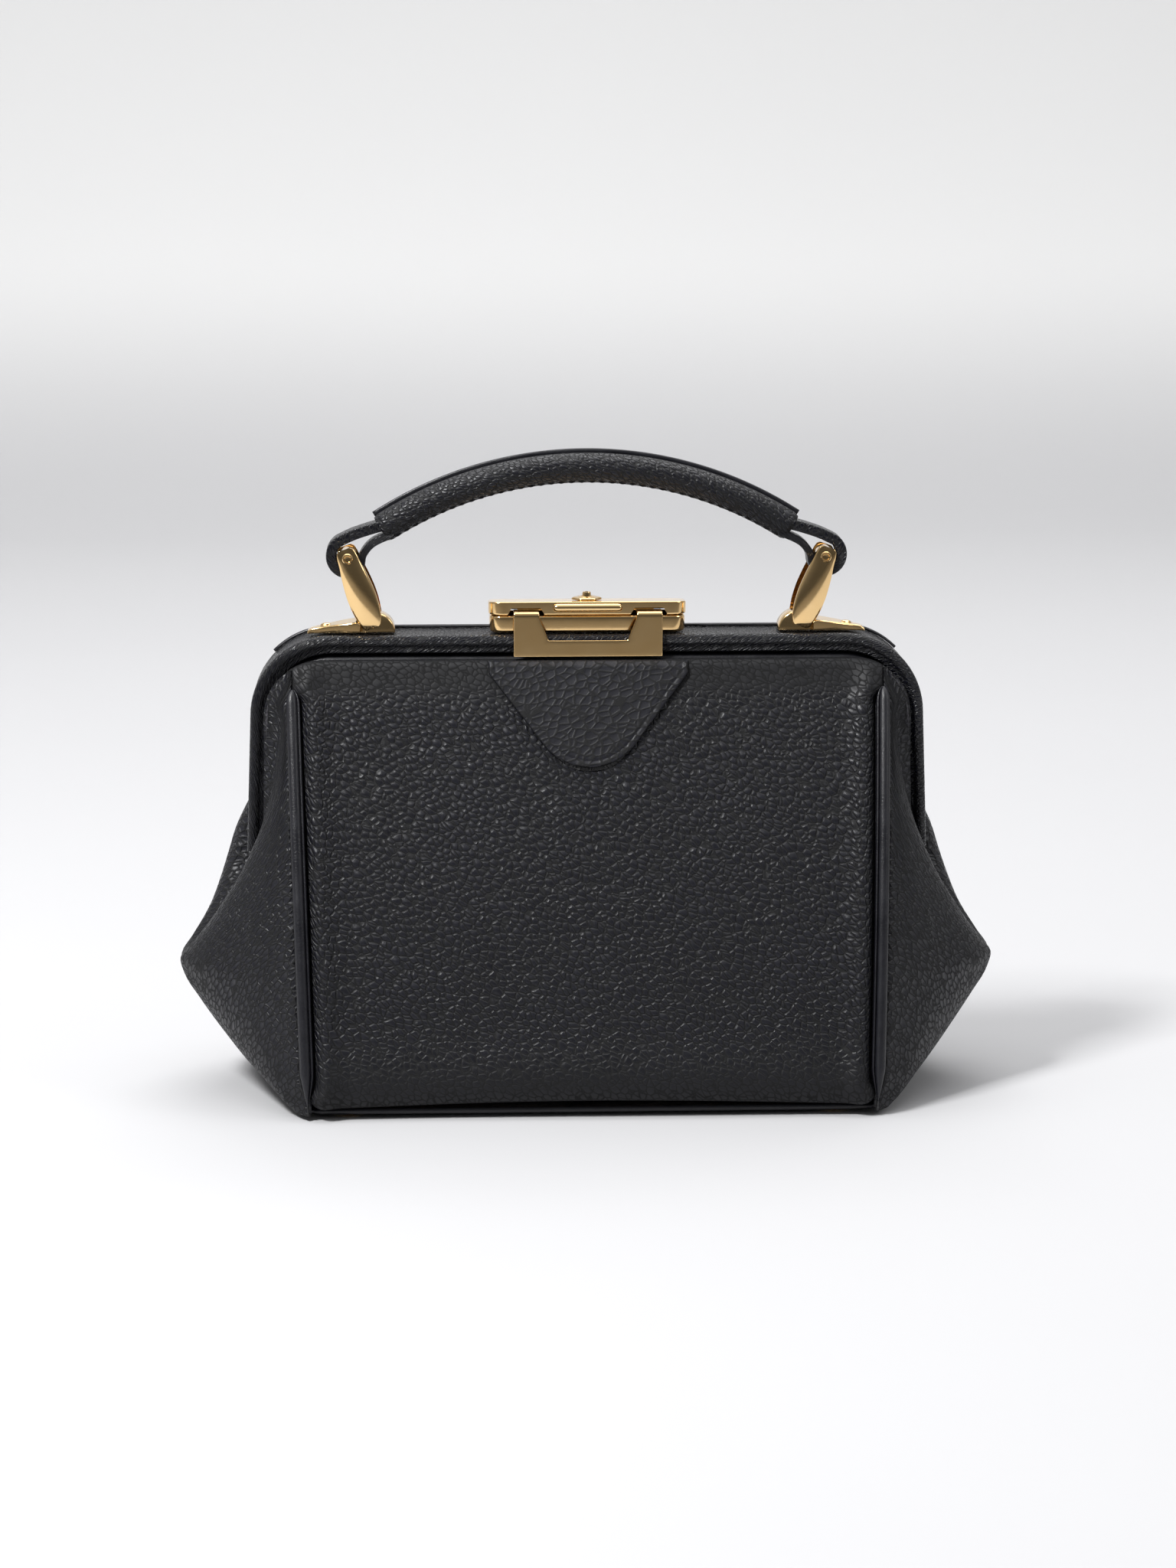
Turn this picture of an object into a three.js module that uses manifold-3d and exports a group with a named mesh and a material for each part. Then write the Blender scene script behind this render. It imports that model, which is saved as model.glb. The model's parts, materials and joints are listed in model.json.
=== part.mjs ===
// Doctor bag: a soft leather body on a hinged two-piece frame, with a drop-lid lock and an arched handle.
// Millimetres: +X runs along the bag, -Y is the front, +Z is up.
// The origin is on the ground under the middle of the bag.
import * as THREE from "three";
import { mergeVertices } from "three/addons/utils/BufferGeometryUtils.js";
import Module from "manifold-3d";

const wasm = await Module();
wasm.setup();

// ---- Driving dimensions ----
const GAP = 0.3;                 // air left between pieces that touch on the real bag

const FRAME_HALF_WIDTH = 100;    // an 8 inch frame, measured over the top corners
const FRAME_TOP = 136.5;
const FRAME_CORNER_R = 24;
const FRAME_HALF_DEPTH = 10;     // each half frame, front to back, when shut
const ARM_FLARE = 1.5;           // the arms spread this much towards the hinge
const HINGE_Z = 72;
const HINGE_PIN_R = 2;
const STEEL = 1.4;               // thickness of the frame channels

const BASE_HALF_DEPTH = 52;
const BASE_TOP_LEATHER = 2.4;    // underside of the base leather, on its feet
const LEATHER = 1.8;
const PANEL_TOP = 129.5;
const PANEL_BOTTOM = 3;
const PANEL_TOP_Y = 11.8;        // depth of the panel under the frame
const PANEL_BULGE = 5;
const PANEL_CORNER_R = 13;
const TONGUE = { half: 29.5, top: 129, shoulder: 125.8, tip: 99.4, tipR: 17.5, slope: 0.8, thick: 1.3 };
const PIPING_R = 1.9;
const PIPING_HALF_LOW = 83;      // from the middle to the piping, at the base
const PIPING_HALF_HIGH = 87.5;   // and under the frame

const LOCK_HALF = 29;
const LOCK_HALF_DEPTH = 7;
const LOCK_Z = FRAME_TOP + 0.2;
const LOCK_SEAM_Z = 141.8;       // top edge of the lock's tray
const LID_TOP_Z = 146;
const LID_BACK_DROP = 0.9;       // the lid is this much thinner at its hinge
const LOCK_WALL = 1;
const LOCK_CORNER_R = 4;
const LID_AXIS = { y: 9.3, z: 142 };  // the lid's hinge pin, behind the tray
const KEY_Y = 0.5;

const HASP_HALF = 22;
const HASP_ARM_INNER = 14.4;
const HASP_LOW = 130.2;
const HASP_WINDOW_LOW = 135.1;
const HASP_WINDOW_HALF_LOW = 11.7;
const HASP_ARM_TOP = 143.5;
const HASP_PLATE = 1.2;
const HASP_FRONT = -11.8;

const HANDLE_Y = 1;              // the handle stands on the middle of the top band
const PIVOT = { x: 64.3, z: 140.3 };
const LINK_LENGTH = 19.6;
const LINK_LEAN = THREE.MathUtils.degToRad(19.5);
const TOP_PIN = {
  x: PIVOT.x + LINK_LENGTH * Math.sin(LINK_LEAN),
  z: PIVOT.z + LINK_LENGTH * Math.cos(LINK_LEAN),
};
const STRAP_WIDTH = 8.6;
const LINK_PLATE = 1.2;
const GRIP_ARC_R = 111.5;
const GRIP_TOP = 189.4;
const GRIP_HALF_HIGH = 4.5;
const GRIP_HALF_DEEP = 5;
const GRIP_HALF_ANGLE = THREE.MathUtils.degToRad(33);
const GRIP_CENTRE_Z = GRIP_TOP - GRIP_HALF_HIGH - GRIP_ARC_R;
const GRIP_END = {
  x: GRIP_ARC_R * Math.sin(GRIP_HALF_ANGLE),
  z: GRIP_CENTRE_Z + GRIP_ARC_R * Math.cos(GRIP_HALF_ANGLE),
};

const FOOT = { x: 71, y: 42, r: 4.2, high: 2.1 };

// ---- Materials ----
function material(color, roughness, metalness) {
  return new THREE.MeshStandardMaterial({ color, roughness, metalness });
}
const LEATHER_BLACK = material(0x222226, 0.55, 0);
const LEATHER_EDGE = material(0x19191c, 0.45, 0);
const BRASS = material(0xe0bd74, 0.15, 1);
const STEEL_GREY = material(0x8c8e92, 0.4, 1);
const LINING = material(0x3c3a40, 0.9, 0);
const BOARD = material(0x8f7a5c, 0.9, 0);

// ---- Helpers ----
const vec = (x, y, z) => new THREE.Vector3(x, y, z);
const mix = THREE.MathUtils.lerp;

function solidOf(geometry) {
  const plain = new THREE.BufferGeometry().setAttribute("position", geometry.getAttribute("position"));
  plain.setIndex(geometry.index);
  const merged = mergeVertices(plain, 1e-4);
  return new wasm.Manifold(new wasm.Mesh({
    numProp: 3,
    vertProperties: merged.attributes.position.array,
    triVerts: new Uint32Array(merged.index.array),
  }));
}

function geometryOf(solid) {
  const mesh = solid.getMesh();
  return new THREE.BufferGeometry()
    .setAttribute("position", new THREE.BufferAttribute(new Float32Array(mesh.vertProperties), 3))
    .setIndex(new THREE.BufferAttribute(new Uint32Array(mesh.triVerts), 1));
}

function join(first, ...others) {
  return geometryOf(others.reduce((whole, g) => whole.add(solidOf(g)), solidOf(first)));
}

function cut(first, ...tools) {
  return geometryOf(tools.reduce((whole, g) => whole.subtract(solidOf(g)), solidOf(first)));
}

// A closed skin through a row of rings that each have the same number of points.
function loft(rings) {
  const count = rings[0].length;
  const triangles = [];
  for (let i = 0; i + 1 < rings.length; i++) {
    for (let j = 0; j < count; j++) {
      const next = (j + 1) % count;
      const [a, b, c, d] = [i * count + j, i * count + next, (i + 1) * count + next, (i + 1) * count + j];
      triangles.push([a, b, c], [a, c, d]);
    }
  }
  const last = (rings.length - 1) * count;
  for (const [a, b, c] of capTriangles(rings[0])) triangles.push([a, c, b]);
  for (const [a, b, c] of capTriangles(rings.at(-1))) triangles.push([last + a, last + b, last + c]);
  const points = rings.flat();
  const volume = triangles.reduce(
    (sum, [a, b, c]) => sum + points[a].dot(points[b].clone().cross(points[c])), 0);
  const index = volume < 0 ? triangles.map(([a, b, c]) => [a, c, b]) : triangles;
  return new THREE.BufferGeometry().setFromPoints(points).setIndex(index.flat());
}

// Triangles over one flat ring, turning the same way as the ring.
function capTriangles(ring) {
  const normal = vec(0, 0, 0);
  ring.forEach((p, i) => normal.add(p.clone().cross(ring[(i + 1) % ring.length])));
  const across = vec(0, 0, 1).cross(normal).length() > 0.2 * normal.length()
    ? vec(0, 0, 1).cross(normal).normalize()
    : vec(1, 0, 0).cross(normal).normalize();
  const up = normal.clone().normalize().cross(across);
  const flat = ring.map((p) => new THREE.Vector2(p.dot(across), p.dot(up)));
  const turn = Math.sign(THREE.ShapeUtils.area(flat));
  return THREE.ShapeUtils.triangulateShape(flat, []).map(([a, b, c]) =>
    Math.sign(THREE.ShapeUtils.area([flat[a], flat[b], flat[c]])) === turn ? [a, b, c] : [a, c, b]);
}

// A flat outline drawn in X and Z, extruded in Y from `front` over `depth`.
function plateXZ(shape, front, depth, curveSegments = 8) {
  const geometry = new THREE.ExtrudeGeometry(shape, { depth, bevelEnabled: false, curveSegments });
  return geometry.rotateX(Math.PI / 2).translate(0, front + depth, 0);
}

// A flat outline drawn in X and Y, extruded upwards from `low` over `height`.
function plateXY(shape, low, height, curveSegments = 5) {
  const geometry = new THREE.ExtrudeGeometry(shape, { depth: height, bevelEnabled: false, curveSegments });
  return geometry.translate(0, 0, low);
}

function roundedRectangle(halfX, halfY, r) {
  const shape = new THREE.Shape();
  shape.absarc(halfX - r, halfY - r, r, 0, Math.PI / 2);
  shape.absarc(-halfX + r, halfY - r, r, Math.PI / 2, Math.PI);
  shape.absarc(-halfX + r, -halfY + r, r, Math.PI, 1.5 * Math.PI);
  shape.absarc(halfX - r, -halfY + r, r, 1.5 * Math.PI, 2 * Math.PI);
  return shape;
}

function box(x0, x1, y0, y1, z0, z1) {
  return new THREE.BoxGeometry(x1 - x0, y1 - y0, z1 - z0)
    .translate((x0 + x1) / 2, (y0 + y1) / 2, (z0 + z1) / 2);
}

function rodX(r, x0, x1, y, z, sides = 16) {
  const rod = new THREE.CylinderGeometry(r, r, x1 - x0, sides);
  return rod.rotateZ(Math.PI / 2).translate((x0 + x1) / 2, y, z);
}

function rodY(r, x, y0, y1, z, sides = 16) {
  return new THREE.CylinderGeometry(r, r, y1 - y0, sides).translate(x, (y0 + y1) / 2, z);
}

function rodZ(r, x, y, z0, z1, sides = 16) {
  const rod = new THREE.CylinderGeometry(r, r, z1 - z0, sides);
  return rod.rotateX(Math.PI / 2).translate(x, y, (z0 + z1) / 2);
}

function mirrored(geometry) {
  const flipped = geometry.clone().scale(-1, 1, 1);
  const solid = flipped.index ? flipped : mergeVertices(flipped);
  const index = solid.index.array;
  for (let i = 0; i < index.length; i += 3) [index[i + 1], index[i + 2]] = [index[i + 2], index[i + 1]];
  return solid;
}

// ---- The body's groups, one for each piece that moves ----
const doctorBag = new THREE.Group();
const bag = new THREE.Group();
const frontFrame = new THREE.Group();
const rearFrame = new THREE.Group();
const lockLid = new THREE.Group();
const keyBarrel = new THREE.Group();
const leftLink = new THREE.Group();
const rightLink = new THREE.Group();
const handle = new THREE.Group();
doctorBag.add(bag, frontFrame, rearFrame);
rearFrame.add(lockLid, leftLink, rightLink);
lockLid.add(keyBarrel);
leftLink.add(handle);

function add(group, name, geometry, finish) {
  const mesh = new THREE.Mesh(geometry, finish.clone());
  mesh.name = name;
  group.add(mesh);
}

function addPair(groups, name, rightGeometry, finish) {
  add(groups[0], `left_${name}`, mirrored(rightGeometry), finish);
  add(groups[1], `right_${name}`, rightGeometry, finish);
}

// ---- Body panels, piping and base ----
// How far up the panel a height is, from 0 at the base to 1 under the frame.
const upPanel = (z) => (z - PANEL_BOTTOM) / (PANEL_TOP - PANEL_BOTTOM);
// The outer face of the front or back panel, as a distance from the middle.
const panelY = (z) =>
  mix(BASE_HALF_DEPTH, PANEL_TOP_Y, upPanel(z)) + PANEL_BULGE * Math.sin(Math.PI * upPanel(z));
const pipingX = (z) => mix(PIPING_HALF_LOW, PIPING_HALF_HIGH, upPanel(z));

function levels(low, high, count) {
  return Array.from({ length: count + 1 }, (_, i) => mix(low, high, i / count));
}

// A sheet that follows the panel's curve, set in by `inset`; the side is -1 for the front and 1 for the back.
function panelSheet(side, inset, thickness, halfWidth, zLevels) {
  return loft(zLevels.map((z) => {
    const outer = side * (panelY(z) - inset);
    const inner = side * (panelY(z) - inset - thickness);
    const half = halfWidth(z);
    return [vec(-half, outer, z), vec(half, outer, z), vec(half, inner, z), vec(-half, inner, z)];
  }));
}

function roundedTopHalf(half, top, r) {
  return (z) => {
    const rise = Math.max(0, z - (top - r));
    return half(z) - (r - Math.sqrt(Math.max(0, r * r - rise * rise)));
  };
}

const panelLevels = [...levels(PANEL_BOTTOM, PANEL_TOP - PANEL_CORNER_R, 8), ...levels(119, PANEL_TOP, 4)];
const panelHalf = roundedTopHalf((z) => pipingX(z) - PIPING_R - GAP, PANEL_TOP, PANEL_CORNER_R);
const sides = [["front", -1], ["back", 1]];
for (const [word, side] of sides) {
  add(bag, `${word}_panel`, panelSheet(side, 0, LEATHER, panelHalf, panelLevels), LEATHER_BLACK);
  const liningHalf = (z) => panelHalf(z) - 3;
  add(bag, `${word}_lining`, panelSheet(side, LEATHER + GAP, 0.6, liningHalf, levels(9, 121, 8)), LINING);
}
const pocketHalf = () => 52;
add(bag, "inner_pocket", panelSheet(1, LEATHER + 2 * GAP + 0.6, 0.9, pocketHalf, levels(34, 88, 4)), LINING);

// The piping runs up both edges of each panel and tapers to a point at each end.
function piping(side) {
  const zLow = PANEL_BOTTOM + 4;
  const zHigh = 121;
  return loft(levels(zLow, zHigh, 12).map((z, i) => {
    const r = i === 0 || i === 12 ? 0.5 : PIPING_R;
    return Array.from({ length: 8 }, (_, k) => {
      const turn = (k / 8) * 2 * Math.PI;
      return vec(pipingX(z) + r * Math.cos(turn), side * (panelY(z) + 0.2) + r * Math.sin(turn), z);
    });
  }));
}
for (const [word, side] of sides) addPair([bag, bag], `${word}_piping`, piping(side), LEATHER_EDGE);

add(bag, "base_panel", plateXY(roundedRectangle(84.2, 49.2, 5), BASE_TOP_LEATHER, LEATHER), LEATHER_BLACK);
add(bag, "base_board", plateXY(roundedRectangle(79, 47.5, 4), BASE_TOP_LEATHER + LEATHER + GAP, 2.2), BOARD);
const baseLiningZ = BASE_TOP_LEATHER + LEATHER + 2.2 + 2 * GAP;
add(bag, "base_lining", plateXY(roundedRectangle(77.5, 45, 4), baseLiningZ, 0.6), LINING);

function foot(x, y) {
  const profile = [[0, 0], [FOOT.r - 1.2, 0], [FOOT.r, 1], [FOOT.r, FOOT.high], [0, FOOT.high]];
  const points = profile.map(([r, z]) => new THREE.Vector2(r, z));
  return new THREE.LatheGeometry(points, 20).rotateX(Math.PI / 2).translate(x, y, 0);
}
for (const [word, side] of sides) addPair([bag, bag], `${word}_foot`, foot(FOOT.x, side * FOOT.y), BRASS);

// ---- Gussets: each end folds outwards to a point low down and inwards between the frame's arms ----
// Right half sections, front side: the outer ridge, the fold behind it, the valley and the inner face.
const gussetKeys = [
  { z: 4, ridge: [87.5, 50.6], fold: [88, 26], valley: 88, inner: [85.4, 26] },
  { z: 20, ridge: [104.5, 27], fold: [106, 13], valley: 106.3, inner: [102.5, 13] },
  { z: 36, ridge: [119.3, 7], fold: [121.2, 3.5], valley: 121.5, inner: [117, 4] },
  { z: 50, ridge: [116.5, 6.5], fold: [114, 3], valley: 112.5, inner: [109, 4] },
  { z: 65, ridge: [108.5, 11.4], fold: [92, 10.6], valley: 89, inner: [87.5, 8] },
  { z: 84, ridge: [100.5, 12.6], fold: [92, 10.7], valley: 85, inner: [83, 6] },
  { z: 116, ridge: [95, 12.6], fold: [91, 10.8], valley: 84, inner: [82, 6] },
];

function gussetAt(z) {
  const i = Math.min(gussetKeys.findLastIndex((key) => key.z <= z), gussetKeys.length - 2);
  const [low, high] = [gussetKeys[i], gussetKeys[i + 1]];
  const t = (z - low.z) / (high.z - low.z);
  const between = (name) => low[name].map((value, k) => mix(value, high[name][k], t));
  return {
    ridge: between("ridge"),
    fold: between("fold"),
    inner: between("inner"),
    valley: mix(low.valley, high.valley, t),
  };
}

function gussetRing(z) {
  const { ridge, fold, inner, valley } = gussetAt(z);
  const seam = [pipingX(z) + PIPING_R + GAP, panelY(z) - 0.6];
  const seamInner = [pipingX(z) + PIPING_R + GAP, panelY(z) - 0.6 - LEATHER];
  const half = [seam, ridge, fold];
  const innerHalf = [seamInner, inner];
  return [
    ...half.map(([x, y]) => vec(x, -y, z)),
    vec(valley, 0, z),
    ...half.toReversed().map(([x, y]) => vec(x, y, z)),
    ...innerHalf.map(([x, y]) => vec(x, y, z)),
    vec(valley - 2.2, 0, z),
    ...innerHalf.toReversed().map(([x, y]) => vec(x, -y, z)),
  ];
}
const gussetLevels = [4, 12, 20, 28, 36, 43, 50, 57, 65, 74, 84, 100, 116];
addPair([bag, bag], "gusset", loft(gussetLevels.map(gussetRing)), LEATHER_BLACK);

// ---- The tongue of leather sewn to the front panel under the hasp ----
// Straight slanting sides run down to a round tip.
function tongue() {
  // The round tip runs into the straight sides where its edge has turned to their slope.
  const sideTurn = Math.atan2(1, TONGUE.slope);
  const heightAt = (turn) => TONGUE.tip + TONGUE.tipR * (1 - Math.cos(turn));
  const tipEnd = heightAt(sideTurn);
  const half = (z) => {
    const rise = z - TONGUE.tip;
    if (z < tipEnd) return Math.sqrt(2 * TONGUE.tipR * rise - rise * rise);
    return Math.min(TONGUE.half, TONGUE.tipR * Math.sin(sideTurn) + TONGUE.slope * (z - tipEnd));
  };
  const roundLevels = levels(0.15, sideTurn, 5).map(heightAt);
  const zLevels = [...roundLevels, ...levels(108, TONGUE.shoulder, 4), TONGUE.top];
  return panelSheet(-1, -GAP - TONGUE.thick, TONGUE.thick, half, zLevels);
}
add(bag, "tongue_tab", tongue(), LEATHER_BLACK);

// ---- The frame: two U-shaped channels that hinge on a pin at the foot of each arm ----
// Stations along the outer edge of the U, from the left hinge over the top to the right hinge.
function frameStations() {
  const straightTop = FRAME_TOP - FRAME_CORNER_R;
  const centreX = FRAME_HALF_WIDTH - FRAME_CORNER_R;
  const right = [{ x: FRAME_HALF_WIDTH + ARM_FLARE, z: HINGE_Z, nx: 1, nz: 0 }];
  for (let i = 0; i <= 6; i++) {
    const turn = (i / 6) * (Math.PI / 2);
    const [nx, nz] = [Math.cos(turn), Math.sin(turn)];
    right.push({ x: centreX + FRAME_CORNER_R * nx, z: straightTop + FRAME_CORNER_R * nz, nx, nz });
  }
  const left = right.toReversed().map(({ x, z, nx, nz }) => ({ x: -x, z, nx: -nx, nz }));
  return [...right, ...left];
}

// Sweeps a section along the U. A section's points are [inset from the outer edge, y].
function sweepFrame(section, stations = frameStations()) {
  return loft(stations.map(({ x, z, nx, nz }) =>
    section.map(([inset, y]) => vec(x - nx * inset, y, z - nz * inset))));
}

// A hinge eye at the foot of each arm, joined to the channel and bored for the pin.
function withEyes(channel, inset) {
  const outer = FRAME_HALF_WIDTH + ARM_FLARE - inset;
  const eye = (x0, x1) => rodX(4.4, x0, x1, 0, HINGE_Z, 24);
  const hole = (x0, x1) => rodX(HINGE_PIN_R + 0.35, x0 - 1, x1 + 1, 0, HINGE_Z, 24);
  const [near, far] = [outer - STEEL, outer];
  return cut(join(channel, eye(near, far), eye(-far, -near)), hole(near, far), hole(-far, -near));
}

const FRONT_INSET = 3.1;
const REAR_INSET = 5;
const frontChannel = [
  [FRONT_INSET, -8.8], [FRONT_INSET, -0.6], [FRONT_INSET + STEEL, -0.6], [FRONT_INSET + STEEL, -8.8],
];
add(frontFrame, "front_frame_channel", withEyes(sweepFrame(frontChannel), FRONT_INSET), STEEL_GREY);

const rearChannel = [
  [REAR_INSET, 0.6], [REAR_INSET, 7.4], [FRONT_INSET, 7.4], [FRONT_INSET, 8.8],
  [REAR_INSET + STEEL, 8.8], [REAR_INSET + STEEL, 0.6],
];
add(rearFrame, "rear_frame_channel", withEyes(sweepFrame(rearChannel), REAR_INSET), STEEL_GREY);

// Leather wrapped round the front channel, rolled into a bead along the front edge.
const frontCover = [
  [2.7, -6.4], [0.9, -6.6], [0.1, -7.6], [0.1, -8.8], [0.9, -9.8], [2.4, -FRAME_HALF_DEPTH],
  [4.9, -9.9], [5.4, -9.4], [5.4, -5.5], [4.8, -5.5], [4.8, -9.1], [2.8, -9.1],
];
const haspRivets = [-17, 17];
const haspRivetZ = FRAME_TOP - FRONT_INSET - STEEL / 2;
const rivetHoles = haspRivets.map((x) => rodY(1.5, x, -11, -8, haspRivetZ, 12));
add(frontFrame, "front_frame_cover", cut(sweepFrame(frontCover), ...rivetHoles), LEATHER_BLACK);

// Leather over the rear channel: a flat band across the top that laps over the front half.
const rearCover = [
  [0.7, -6], [0.2, 7], [0.2, 9.6], [0.8, FRAME_HALF_DEPTH], [6.9, FRAME_HALF_DEPTH], [7.2, 9.6], [7.2, 5.5],
  [6.7, 5.5], [6.7, 9.1], [2.6, 9.1], [2.6, -6],
];
add(rearFrame, "rear_frame_cover", sweepFrame(rearCover), LEATHER_BLACK);

// A narrow strip laid along the back edge of the band, over the top and into both corners.
const overlayStations = frameStations().slice(4, -4);
add(rearFrame, "rear_frame_overlay", sweepFrame(
  [[-0.1, 7.7], [-0.1, 9.7], [-0.8, 9.4], [-0.8, 8]], overlayStations), LEATHER_EDGE);

function hingePin() {
  const armOuter = FRAME_HALF_WIDTH + ARM_FLARE;
  const head = armOuter - REAR_INSET - STEEL - GAP;
  return join(
    rodX(HINGE_PIN_R, head - 0.5, armOuter - FRONT_INSET + 0.2, 0, HINGE_Z, 20),
    rodX(3.2, head - 1.2, head, 0, HINGE_Z, 20),
  );
}
addPair([bag, bag], "hinge_pin", hingePin(), STEEL_GREY);

// ---- Hasp plate on the front frame: its two arms reach back into the lock ----
function haspPlate() {
  const outline = new THREE.Shape();
  outline.moveTo(-HASP_HALF, HASP_LOW);
  outline.lineTo(HASP_HALF, HASP_LOW);
  outline.lineTo(HASP_HALF, HASP_ARM_TOP - 0.4);
  outline.lineTo(HASP_ARM_INNER, HASP_ARM_TOP - 0.4);
  outline.lineTo(HASP_WINDOW_HALF_LOW, HASP_WINDOW_LOW);
  outline.lineTo(-HASP_WINDOW_HALF_LOW, HASP_WINDOW_LOW);
  outline.lineTo(-HASP_ARM_INNER, HASP_ARM_TOP - 0.4);
  outline.lineTo(-HASP_HALF, HASP_ARM_TOP - 0.4);
  const plate = plateXZ(outline, HASP_FRONT, HASP_PLATE);
  const arm = (x0, x1) => box(x0, x1, HASP_FRONT + 0.4, -4.5, HASP_ARM_TOP - 1, HASP_ARM_TOP);
  return join(plate, arm(HASP_ARM_INNER, HASP_HALF), arm(-HASP_HALF, -HASP_ARM_INNER));
}
add(frontFrame, "hasp_plate", haspPlate(), BRASS);
haspRivets.forEach((x, i) => {
  const stud = rodY(1.2, x, HASP_FRONT + HASP_PLATE + GAP, -9.1, haspRivetZ, 12);
  add(frontFrame, `hasp_rivet_${i + 1}`, stud, BRASS);
});

// ---- Lock tray, lid and key barrel on the rear frame ----
const lockOutline = roundedRectangle(LOCK_HALF, LOCK_HALF_DEPTH, LOCK_CORNER_R);
const lockHollow = roundedRectangle(
  LOCK_HALF - LOCK_WALL,
  LOCK_HALF_DEPTH - LOCK_WALL,
  LOCK_CORNER_R - LOCK_WALL,
);
const LID_BARREL_R = 1.6;
const LID_PIN_R = 0.8;
const knuckleHole = rodX(LID_PIN_R + 0.25, -40, 40, LID_AXIS.y, LID_AXIS.z, 12);

function knuckle(x0, x1, z0, z1) {
  const web = box(x0, x1, LOCK_HALF_DEPTH - 0.5, LID_AXIS.y, z0, z1);
  return [rodX(LID_BARREL_R, x0, x1, LID_AXIS.y, LID_AXIS.z, 16), web];
}

function lockTray() {
  const tray = cut(
    plateXY(lockOutline, LOCK_Z, LOCK_SEAM_Z - LOCK_Z),
    plateXY(lockHollow, LOCK_Z + LOCK_WALL, 10),
  );
  const ears = [...knuckle(13, 20, 140.6, 141.6), ...knuckle(-20, -13, 140.6, 141.6)];
  return cut(join(tray, ...ears), knuckleHole);
}
add(rearFrame, "lock_tray", lockTray(), BRASS);

function lidShell() {
  const low = LOCK_SEAM_Z + 0.4;
  const slope = Math.atan2(LID_BACK_DROP, 2 * LOCK_HALF_DEPTH);
  const topCut = box(-40, 40, -20, 20, 0, 10).rotateX(-slope).translate(0, -LOCK_HALF_DEPTH, LID_TOP_Z);
  const notch = (x) => box(x - 4.6, x + 4.6, -12, -4, low - 1, HASP_ARM_TOP + 0.7);
  const shell = cut(
    plateXY(roundedRectangle(LOCK_HALF + 0.3, LOCK_HALF_DEPTH + 0.3, LOCK_CORNER_R), low, 5),
    plateXY(lockHollow, low - 1, LID_TOP_Z - LID_BACK_DROP - LOCK_WALL - low + 1),
    topCut, notch(18.2), notch(-18.2),
  );
  const [barrel, web] = knuckle(-12, 12, 142.4, 143.4);
  const keyHole = rodZ(1.6, 0, KEY_Y, 140, 150, 16);
  const tooth = (x) => box(x - 1.5, x + 1.5, -5.8, -4.9, HASP_ARM_TOP + GAP, LID_TOP_Z - 1.5);
  return cut(join(shell, barrel, web, tooth(18.2), tooth(-18.2)), knuckleHole, keyHole);
}
add(lockLid, "lock_lid", lidShell(), BRASS);

function fingerTab() {
  const bar = new THREE.CapsuleGeometry(1.3, 17.6, 4, 12).rotateZ(Math.PI / 2);
  return bar.translate(0, -LOCK_HALF_DEPTH - 0.3 - GAP - 1.3, 144.3);
}
add(lockLid, "lid_finger_tab", fingerTab(), BRASS);
add(rearFrame, "lid_hinge_pin", rodX(LID_PIN_R, -20.5, 20.5, LID_AXIS.y, LID_AXIS.z, 12), BRASS);

const KEY_SEAT_Z = LID_TOP_Z - 0.2;
function escutcheon() {
  const disc = new THREE.LatheGeometry(
    [[1.7, 0], [4.2, 0], [4.2, 0.4], [3, 0.9], [1.7, 0.9], [1.7, 0]].map(([r, z]) => new THREE.Vector2(r, z)),
    20,
  );
  return disc.rotateX(Math.PI / 2).translate(0, KEY_Y, KEY_SEAT_Z + GAP);
}
add(lockLid, "key_escutcheon", escutcheon(), BRASS);

function keyPlug() {
  return join(
    rodZ(1.3, 0, KEY_Y, 142.6, KEY_SEAT_Z + 2.2, 12),
    box(0, 4.6, KEY_Y - 0.7, KEY_Y + 0.7, 142.6, 143.4),
  );
}
add(keyBarrel, "key_plug", keyPlug(), BRASS);

for (const [word, x] of [["left", -22], ["right", 22]]) {
  const seat = LOCK_Z + LOCK_WALL + GAP;
  add(rearFrame, `${word}_lock_rivet`, rodZ(1.9, x, 0, seat, seat + 1, 14), BRASS);
}

// A bowed leaf spring that lifts the lid when its catch is let go.
function catchSpring() {
  const bow = new THREE.Shape();
  const rest = LOCK_Z + LOCK_WALL + GAP;
  bow.moveTo(-13, rest);
  bow.quadraticCurveTo(0, rest + 5.4, 13, rest);
  bow.lineTo(12, rest);
  bow.quadraticCurveTo(0, rest + 4.4, -12, rest);
  return plateXZ(bow, 2.2, 2.6, 10);
}
add(rearFrame, "catch_spring", catchSpring(), STEEL_GREY);

// ---- Handle mounts on the band of the rear frame ----
const bandTop = FRAME_TOP + 0.2;

function handleBase() {
  const lug = new THREE.Shape();
  const centre = { x: PIVOT.x - 1.7, z: bandTop };
  lug.absarc(centre.x, centre.z, 5.6, 0, Math.PI);
  const block = plateXZ(lug, HANDLE_Y - STRAP_WIDTH / 2, STRAP_WIDTH, 16);
  const ring = (x, half, low, high) => [
    vec(x, HANDLE_Y - half, low), vec(x, HANDLE_Y + half, low),
    vec(x, HANDLE_Y + half, high), vec(x, HANDLE_Y - half, high),
  ];
  const root = PIVOT.x + 5.1;
  const neck = loft([
    ring(centre.x + 4, 4, bandTop, bandTop + 2),
    ring(root + 0.3, 4, bandTop, bandTop + 2.3),
  ]);
  const wing = loft([ring(root, 5.8, bandTop, bandTop + 2.3), ring(83, 2.4, bandTop - 0.6, bandTop + 0.7)]);
  const bore = rodY(1.6, PIVOT.x, -20, 20, PIVOT.z, 16);
  return cut(join(block, neck, wing), bore);
}
addPair([rearFrame, rearFrame], "handle_base", handleBase(), BRASS);
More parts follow.
